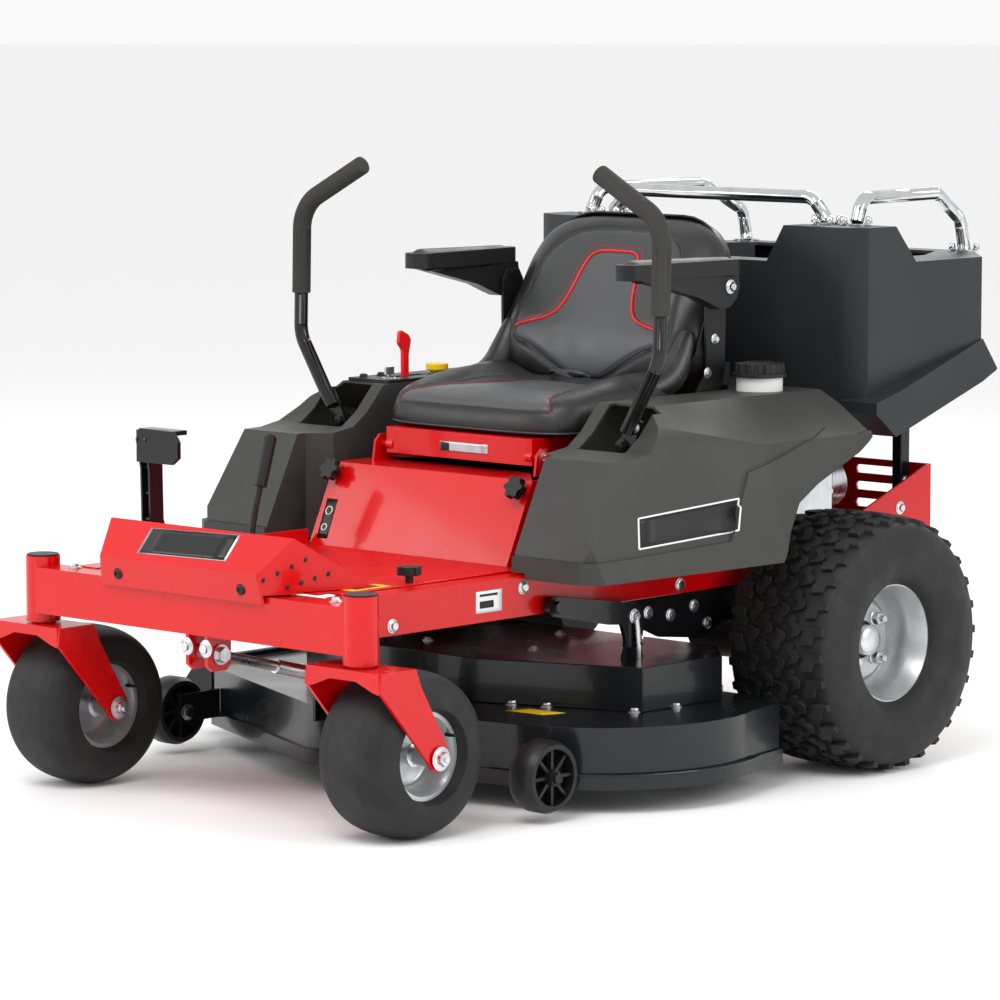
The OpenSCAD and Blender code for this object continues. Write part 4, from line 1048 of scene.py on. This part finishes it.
def around(radius, degrees):
    """Across and up offsets of a point on a circle, in mm."""
    return radius * math.cos(math.radians(degrees)), radius * math.sin(math.radians(degrees))


NX, NY = -X, -Y
SIDES = ((1, "left"), (-1, "right"))
# places in mm: caster axles, drive wheel centres and the face of the drive wheel disc
CASTER_X, CASTER_Y, CASTER_Z = 388, -1050, 140
DRIVE_X, DRIVE_Z = 497, 230
DISC_FACE = DRIVE_X + 18 + 2.9
LUG_CIRCLE = 50
WASHER = [(13.5, 0), (13.5, 1.2), (11.4, 2.2), (0, 2.2)]
LUG = [(12, 2), (12, 13), (10.4, 14.6), (7, 14.8), (0, 14.8)]
STUD = [(6.1, 14), (6.1, 23.5), (5.2, 24.5), (0, 24.5)]
GREASE_CAP = [(27.5, 0), (27.5, 15), (24, 19), (15, 21), (0, 21.4)]
CASTER_VALVE = [(3.2, -6), (3.2, 6), (2.6, 7), (2.6, 15), (1.6, 16), (0, 16)]
DRIVE_VALVE = [(5.5, -4), (5.5, 3), (3.4, 5), (3.4, 17), (4.2, 18), (4.2, 25), (3, 27), (0, 27)]
BEARING_SEAL = [(16, 0), (16, 1.5), (13, 2.4), (13, 4.2), (0, 4.2)]
BEARING = [(22, 0), (22, 5), (18, 7), (0, 7)]

# nuts, bearings and valves of the casters and the drive wheels
for s, side in SIDES:
    heap = Heap()
    for d in (-1, 1):
        foot = at(s * CASTER_X + d * 90.4, CASTER_Y, CASTER_Z)
        heap.hex_bolt(foot, X * d, 12.2)
        heap.lathe(foot + X * d * 9 * MM, X * d, [(5.4, 0), (5.4, 7), (4.4, 8), (0, 8)], 20)
    heap.build(f"caster_axle_nuts_{side}", f"swivel_{side}", ZINC, f"caster_fork_{side}")
    wheel, rim = f"caster_wheel_{side}", f"caster_rim_{side}"
    turned(f"caster_valve_{side}", wheel, SATIN, rim,
           [((s * CASTER_X + 58, CASTER_Y + 52, CASTER_Z + 30), X, CASTER_VALVE, 18)])
    turned(f"caster_bearings_{side}", wheel, ZINC, rim,
           [((s * CASTER_X + d * x, CASTER_Y, CASTER_Z), X * d, profile, 32)
            for d in (-1, 1) for x, profile in ((70.3, BEARING_SEAL), (30, BEARING))])
    wheel, rim = f"drive_wheel_{side}", f"rear_rim_{side}"
    turned(f"drive_wheel_nuts_{side}", wheel, ZINC, rim,
           [((s * DISC_FACE, y, DRIVE_Z + z), X * s, profile, steps)
            for y, z in (around(LUG_CIRCLE, a) for a in (45, 135, 225, 315))
            for profile, steps in ((WASHER, 28), (LUG, 6), (STUD, 20))]
           + [((s * (DISC_FACE + 4), 0, DRIVE_Z), X * s, GREASE_CAP, 40)])
    v = (s * (DRIVE_X + 34), 84 * math.cos(2.4), DRIVE_Z + 84 * math.sin(2.4))
    turned(f"drive_wheel_valve_{side}", wheel, SATIN, rim, [(v, X * s, DRIVE_VALVE, 18)])

# cowl, rails and frame
fasten("cowl_bolts", "foot_cowl", "chassis", [((x, -1184, 402), NY) for x in (-150, 150)],
       "carriage", 9, SATIN)
fasten("crossbar_flange_bolts", "front_crossbar", "chassis",
       [((x, -1143 + 12, 392), Z) for x in (-318, 318)], "hex_bolt", 7)
fasten("clevis_bolts", "front_crossbar", "chassis", [((7, -1172, 292), NY), ((53, -1172, 292), NY)],
       "hex_bolt", 9)
for s, side in SIDES:
    rail = f"frame_rail_{side}"
    fasten(f"rail_bolts_{side}", rail, "chassis",
           [((s * 330, y, z), X * s) for y, z in ((-692, 374), (-282, 339), (-318, 372),
                                                  (-1010, 340), (60, 352), (130, 352))],
           "hex_bolt", 7.5)
    fasten(f"guard_bolts_{side}", "rear_guard", "chassis",
           [((s * 335, y, z), X * s) for y, z in ((230, 352), (340, 424), (300, 352), (410, 352))],
           "hex_bolt", 7.5)
    fasten(f"strut_bolts_{side}", "bed_struts", "chassis",
           [((s * 296, y, z), X * s) for y in (176, 405) for z in (466, 700)], "hex_bolt", 6.5,
           reach=30)
    # hanger plate, hydraulic lines and belt-side parts below the fender
    heap = Heap()
    heap.slab([at(s * 318, y, z) for y, z in ((-420, 322), (-180, 322), (-150, 300), (-150, 262),
                                              (-210, 236), (-330, 250), (-420, 288))], X * s, 5)
    heap.box(at(s * 296, -205, 250), at(s * 240, -60, 318), 6)
    heap.build(f"hanger_plate_{side}", "chassis", BLACK_PAINT, rail)
    bolts_at(f"hanger_bolts_{side}", "chassis", rail,
             [(s * 318 + s * 5, y, z) for y, z in ((-360, 296), (-300, 286), (-236, 296), (-200, 262))],
             X * s, 7)
    lines = Heap()
    for k, (dy, dz) in enumerate(((0, 0), (26, 14), (-24, 22))):
        lines.tube(spline([at(s * 250, -40 + dy, 290 + dz / 2), at(s * 262, -110 + dy, 300 + dz / 2),
                           at(s * 272, -190 + dy, 285 + dz / 2), at(s * 268, -250 + dy / 2, 306)], 8),
                   7, 14)
    lines.build(f"hydraulic_lines_{side}", "chassis", TYRE, "transaxles")
    # lift rod from the lift arm to the deck, with its clip
    rod = Heap()
    rod.tube(spline([at(s * 357, -430, 300), at(s * 360, -428, 270), at(s * 360, -426, 232),
                     at(s * 357, -424, 206)], 8), 5, 14)
    rod.lathe(at(s * 357, -424, 196), Z, [(9, 0), (9, 16), (7, 18), (0, 18)], 6)
    clip = [around(11, 36 * k) for k in range(11)]
    rod.tube([at(s * 360 + x, -428, 262 + z) for x, z in clip], 1.2, 8, closed_ends=False)
    rod.hex_bolt(at(s * 353.2, -430, 300), X * s, 8)
    rod.build(f"lift_rod_{side}", "arms", ZINC, "lift_arms")
    bracket = Heap()
    bracket.slab([at(s * 340, y, z) for y, z in ((-452, 226), (-396, 226), (-404, 248), (-444, 248))],
                 X * s, 4)
    bracket.build(f"deck_lift_ear_{side}", "deck", DECK_PAINT, "belt_cover")
    # steering lever foot bolts, ear and bracket bolts of the seat
    bolts_at(f"lever_foot_bolts_{side}", f"lever_{side}", f"steering_lever_{side}",
             ((s * 349, -453, 572), (s * 372, -453, 634)), NY, 7)
    cap = Heap()
    arm = Vector((-s * 148, 7, 78)).normalized()
    end = at(s * 290, -451, 1068)
    cap.lathe(end - arm * 1 * MM, arm,
              [(17, 0), (16.6, 2.2), (15, 3.4), (9, 3.8), (4, 3.2), (0, 3)], 36)
    cap.build(f"grip_end_{side}", f"lever_{side}", FOAM, f"lever_grip_{side}")
    bolts_at(f"seat_hinge_bolts_{side}", "chassis", "seat_box",
             ((s * 195.3 + s * 5, -495, 571),), X * s, 9.4)
    bolts_at(f"seat_bracket_bolts_{side}", "seat", "seat_shell",
             [(s * 252, y, z) for y, z in ((-116, 640), (-98, 760), (-118, 700))], X * s, 6)
    # padded armrest top
    pad = Heap()
    path = spline([at(s * x, y, 891) for x, y in
                   ((258, -346), (259, -300), (262, -230), (267, -160), (273, -100), (275, -86))], 8)
    radii = [16 + 10 * min(1.0, i / 5) for i in range(len(path))]
    shift = [25.5 - 5.5 * i / (len(path) - 1) for i in range(len(path))]
    pad.tube(path, [min(a, b) for a, b in zip(radii, shift)], 28, flat=0.62)
    pad.build(f"armrest_pad_{side}", f"armrest_{side}", SATIN, f"armrest_{side}", 80)
    # pivot screw on the armrest's outer side
    screw = Heap()
    screw.lathe(at(s * 285.6, -96, 856), X * s, [(13, 0), (13, 1.4), (11, 2.4), (0, 2.4)], 32)
    screw.hex_bolt(at(s * 287.4, -96, 856), X * s, 7.6)
    screw.build(f"armrest_pivot_{side}", f"armrest_{side}", ZINC, f"armrest_{side}")
    # bed rail feet: bolts with acorn nuts
    feet = Heap()
    for x, y, z in ((326, 214, 955.2), (262, 208, 955.2), (270, 614, 888.2)):
        for dx, dy in ((-18, -14), (18, 14), (18, -14), (-18, 14)):
            if abs(dx) + abs(dy) > 20 and (dx * dy > 0 or x == 262):
                p = at(s * (x + dx), y + dy, z + 4.1)
                feet.lathe(p, Z, [(8.2, 0), (8.2, 1.2), (6.4, 1.8), (6.4, 7.5), (5.4, 10.5),
                                  (3.2, 12.6), (0, 13.2)], 24)
    feet.build(f"rail_foot_nuts_{side}", "chassis", CHROME, "bed_rails")

# deck hardware
deck_bolts = Heap()
for x, y, z in ((213, -593, 148), (274, -570, 148), (425, -511, 148), (-218, -590, 148),
                (-360, -545, 148), (442, -421, 148), (20, -640, 148), (-60, -640, 148)):
    deck_bolts.hex_bolt(snap("deck_shell", at(x, y, z), Z, 40)[0], Z, 7)
for x, y in ((153, -472), (266, -351), (-170, -480), (-300, -350), (-60, -520), (60, -300)):
    deck_bolts.hex_bolt(snap("belt_cover", at(x, y, 226), Z, 40)[0], Z, 6)
for w, s in (((470, -794, 78), 1), ((-498, -736, 78), -1)):
    deck_bolts.hex_bolt(at(w[0] + (-39 if s > 0 else 39), w[1], w[2]), NX * s, 9)
deck_bolts.build("deck_bolts", "deck", ZINC, "deck_shell")
# weld bead around the deck's left lobe
seam = Heap()
lobe_x, lobe_y, lobe_r, bead_z = 300, -470, 292.66, 67.5
arc = [math.radians(-88 + 112 * k / 120) for k in range(121)]
seam.tube([at(lobe_x + lobe_r * math.cos(a), lobe_y + lobe_r * math.sin(a), bead_z) for a in arc],
          2.0, 8)
seam.build("deck_band_weld", "deck", DECK_PAINT, "deck_shell")

# anti-scalp wheel spokes
for s, side, w in ((1, "left", (470, -794, 78)), (-1, "right", (-498, -736, 78))):
    heap = Heap()
    for d in (-1, 1):
        for k in range(8):
            a = 2 * math.pi * k / 8
            c, q = math.cos(a), math.sin(a)
            x0, x1 = w[0] + d * 3.6, w[0] + d * 21
            pts = []
            for r, half_w in ((13, 3.2), (49, 2.4)):
                for e in (-1, 1):
                    pts.append((w[1] + r * c - e * half_w * q, w[2] + r * q + e * half_w * c))
            order = (pts[0], pts[1], pts[3], pts[2])
            heap.slab([at(x0, y, z) for y, z in order], X * d, abs(x1 - x0))
    heap.build(f"scalp_spokes_{side}", f"deck_wheel_{side}", SATIN, f"scalp_wheel_{side}")

# cap ribs, console buttons and key
heap = Heap()
for k in range(24):
    a = 2 * math.pi * (k + 0.5) / 24
    gap = (a * 8 / (2 * math.pi)) % 1
    if min(gap, 1 - gap) < 0.18:
        continue
    p = at(312 + 45 * math.cos(a), -44 + 45 * math.sin(a), 700)
    heap.lathe(p, Z, [(2.0, 0), (2.0, 15), (1.2, 16.4), (0, 16.6)], 10)
heap.lathe(at(312, -44, 716.9), Z, [(30, 0), (30, 1.4), (28, 2.2), (22, 1.2), (0, 1.0)], 48)
heap.build("fuel_cap_ribs", "filler_cap", SATIN, "fuel_cap")
CONSOLE_Z = 674.3
button = [(9, 0), (9, 1.2), (7.6, 2.2), (7.2, 5.0), (5, 6.2), (0, 6.6)]
turned("console_buttons", "chassis", SATIN, "console_panel",
       [((x, y, CONSOLE_Z), Z, button, 28) for x, y in ((-352, -386), (-352, -340), (-286, -200))])
key_ring = [(14, 0), (14, 1.6), (11.5, 3.2), (9.6, 3.4), (9.6, 1)]
knob_ring = [(17, 0), (17, 1.2), (13, 2.6), (8, 2.8), (8, 1)]
turned("console_bezels", "chassis", CHROME, "console_panel",
       [((-292, -380, CONSOLE_Z), Z, key_ring, 32), ((-318, -226, CONSOLE_Z), Z, knob_ring, 32)])

# badges and labels, all without lettering
badge = [(-112, -1141, 479), (101, -1136, 484), (105, -1175, 444), (-108, -1179, 440)]
patch("cowl_badge_border", "foot_cowl", "chassis", badge, (0, -0.7, 0.7), LABEL_SILVER, 0.4)
patch("cowl_badge", "foot_cowl", "chassis", inset(badge, 0.95), (0, -0.7, 0.7), LABEL_BLACK, 0.9)
side_badge = [(506, -560, 502), (524, -330, 516), (536, -352, 462), (520, -572, 452)]
outline = Heap()
for a, b in zip(side_badge, side_badge[1:] + side_badge[:1]):
    line = []
    for k in range(41):
        q = at(*(a[i] + (b[i] - a[i]) * k / 40 for i in range(3)))
        foot, n = snap("fender_left", q, (0.95, 0, 0.31))
        line.append(foot + n * 0.0004)
    outline.tube(line, 1.7, 8)
outline.build("fender_badge_border", "chassis", LABEL_WHITE, "fender_left", 60)
patch("fender_badge", "fender_left", "chassis", inset(side_badge, 0.955), (0.95, 0, 0.31), SATIN, 0.4)
decal = [(-231, -601, 476), (-205, -601, 476), (-202, -633, 408), (-228, -633, 408)]
patch("control_decal", "seat_box", "chassis", decal, (0, -0.91, 0.42), LABEL_BLACK, 0.4)
ring = Heap()
for v, r in ((0.3, 7.5), (0.72, 6)):
    c = at(-217, -601 - 32 * v, 476 - 68 * v)
    foot, n = snap("seat_box", c, (0, -0.91, 0.42))
    up = n.cross(X).normalized()
    ring.tube([foot + n * 0.0012 + (X * math.cos(a) + up * math.sin(a)) * r * MM
               for a in [i * math.pi / 16 for i in range(33)]], 1.0, 8, closed_ends=False)
ring.build("control_decal_symbols", "chassis", LABEL_WHITE, "seat_box")
pan_label = [(-45, -504, 586), (72, -504, 586), (72, -504, 568), (-45, -504, 568)]
patch("seat_pan_label", "seat_pan", "seat", pan_label, NY, LABEL_SILVER, 0.4)
patch("seat_pan_label_code", "seat_pan", "seat",
      [(-40, -504, 584), (-22, -504, 584), (-22, -504, 570), (-40, -504, 570)], NY, LABEL_BLACK, 0.9)
rail_label = [(330, -809, 377), (330, -745, 377), (330, -745, 340), (330, -809, 340)]
patch("rail_label", "frame_rail_left", "chassis", rail_label, X, LABEL_WHITE, 0.4)
patch("rail_label_bars", "frame_rail_left", "chassis",
      [(330, -800, 372), (330, -756, 372), (330, -756, 368), (330, -800, 368)], X, LABEL_BLACK, 0.9)
patch("rail_label_rows", "frame_rail_left", "chassis",
      [(330, -800, 360), (330, -766, 360), (330, -766, 348), (330, -800, 348)], X, LABEL_BLACK, 0.9)
floor_label = [(238, -1050, 397), (276, -1050, 397), (276, -957, 397), (238, -957, 397)]
patch("floor_label", "floor_pan", "chassis", floor_label, Z, LABEL_YELLOW, 0.4)
patch("floor_label_panel", "floor_pan", "chassis", inset(floor_label, 0.62), Z, LABEL_BLACK, 0.9)
deck_label = [(250, -650, 148), (330, -640, 148), (345, -600, 148), (265, -606, 148)]
patch("deck_label", "deck_shell", "deck", deck_label, Z, LABEL_YELLOW, 0.4)

# louvre slots of the cowl cheeks: dark capsules laid on the cowl, painted shade of the slot openings
for s, side in SIDES:
    heap = Heap()
    for row, (z0, z1) in enumerate(((421, 452), (408, 426))):
        for k in range(4):
            u = k / 3
            p = at(s * (193 + 40 * u + row * 24), -1176 + 62 * u + row * 34, z0 + (z1 - z0) * u)
            foot, n = snap("foot_cowl", p, (s * 0.9, -0.44, 0), 60)
            along = (Z * 0.9 + Y * 0.4).normalized()
            heap.tube([foot + n * 0.0004 - along * 0.004, foot + n * 0.0004,
                       foot + n * 0.0004 + along * 0.004], [2.2, 3.0, 2.2], 10)
    # black label material here is painted shade inside the slots, not print
    heap.build(f"cowl_slot_shade_{side}", "chassis", LABEL_BLACK, "foot_cowl")


# ---------------------------------------------------------------- studio

def studio():
    floor_mat = Nodes("pale_floor", (0.93, 0.93, 0.93), 0.6, Specular_IOR_Level=0.2)
    floor_mat.bump(floor_mat.noise(60.0, 2.0), 0.02, 0.0002)
    heap = Heap()
    z = cad_box[0].z - 0.0006
    heap.add([Vector((x, y, z)) for x, y in ((-300, -300), (300, -300), (300, 300), (-300, 300))],
             [(0, 1, 2, 3)])
    floor = heap.build("studio_floor", None, floor_mat.mat)
    world = bpy.data.worlds.new("studio_world")
    bpy.context.scene.world = world
    world.use_nodes = True
    back = world.node_tree.nodes["Background"]
    back.inputs["Color"].default_value = (1.0, 1.0, 1.0, 1.0)
    back.inputs["Strength"].default_value = 0.95

    def area(name, place, target, size, power):
        data = bpy.data.lights.new(name, "AREA")
        data.shape = "RECTANGLE"
        data.size, data.size_y = size
        data.energy = power
        light = bpy.data.objects.new(name, data)
        bpy.context.scene.collection.objects.link(light)
        light.location = place
        light.rotation_mode = "QUATERNION"
        light.rotation_quaternion = (Vector(target) - Vector(place)).to_track_quat("-Z", "Y")

    area("key_light", (1.2, -3.4, 4.6), (0, 0, 0.4), (3.2, 2.2), 150)
    area("side_light", (4.6, 0.6, 2.6), (0, 0, 0.5), (2.6, 2.0), 70)
    area("front_light", (-3.6, -4.4, 2.4), (0, -0.3, 0.4), (2.4, 1.8), 60)
    area("back_light", (-1.5, 4.4, 3.8), (0, 0, 0.6), (3.0, 2.0), 80)


def camera():
    data = bpy.data.cameras.new("camera")
    data.lens = 165.2
    data.sensor_width = 36
    data.clip_end = 100
    cam = bpy.data.objects.new("camera", data)
    bpy.context.scene.collection.objects.link(cam)
    az, el = math.radians(42.97), math.radians(6.47)
    back = Vector((math.sin(az) * math.cos(el), -math.cos(az) * math.cos(el), math.sin(el)))
    cam.location = (5.58536, -6.11570, 1.40294)
    cam.rotation_mode = "QUATERNION"
    cam.rotation_quaternion = (-back).to_track_quat("-Z", "Y")
    bpy.context.scene.camera = cam
    bpy.context.scene.view_settings.view_transform = "Standard"


studio()
camera()
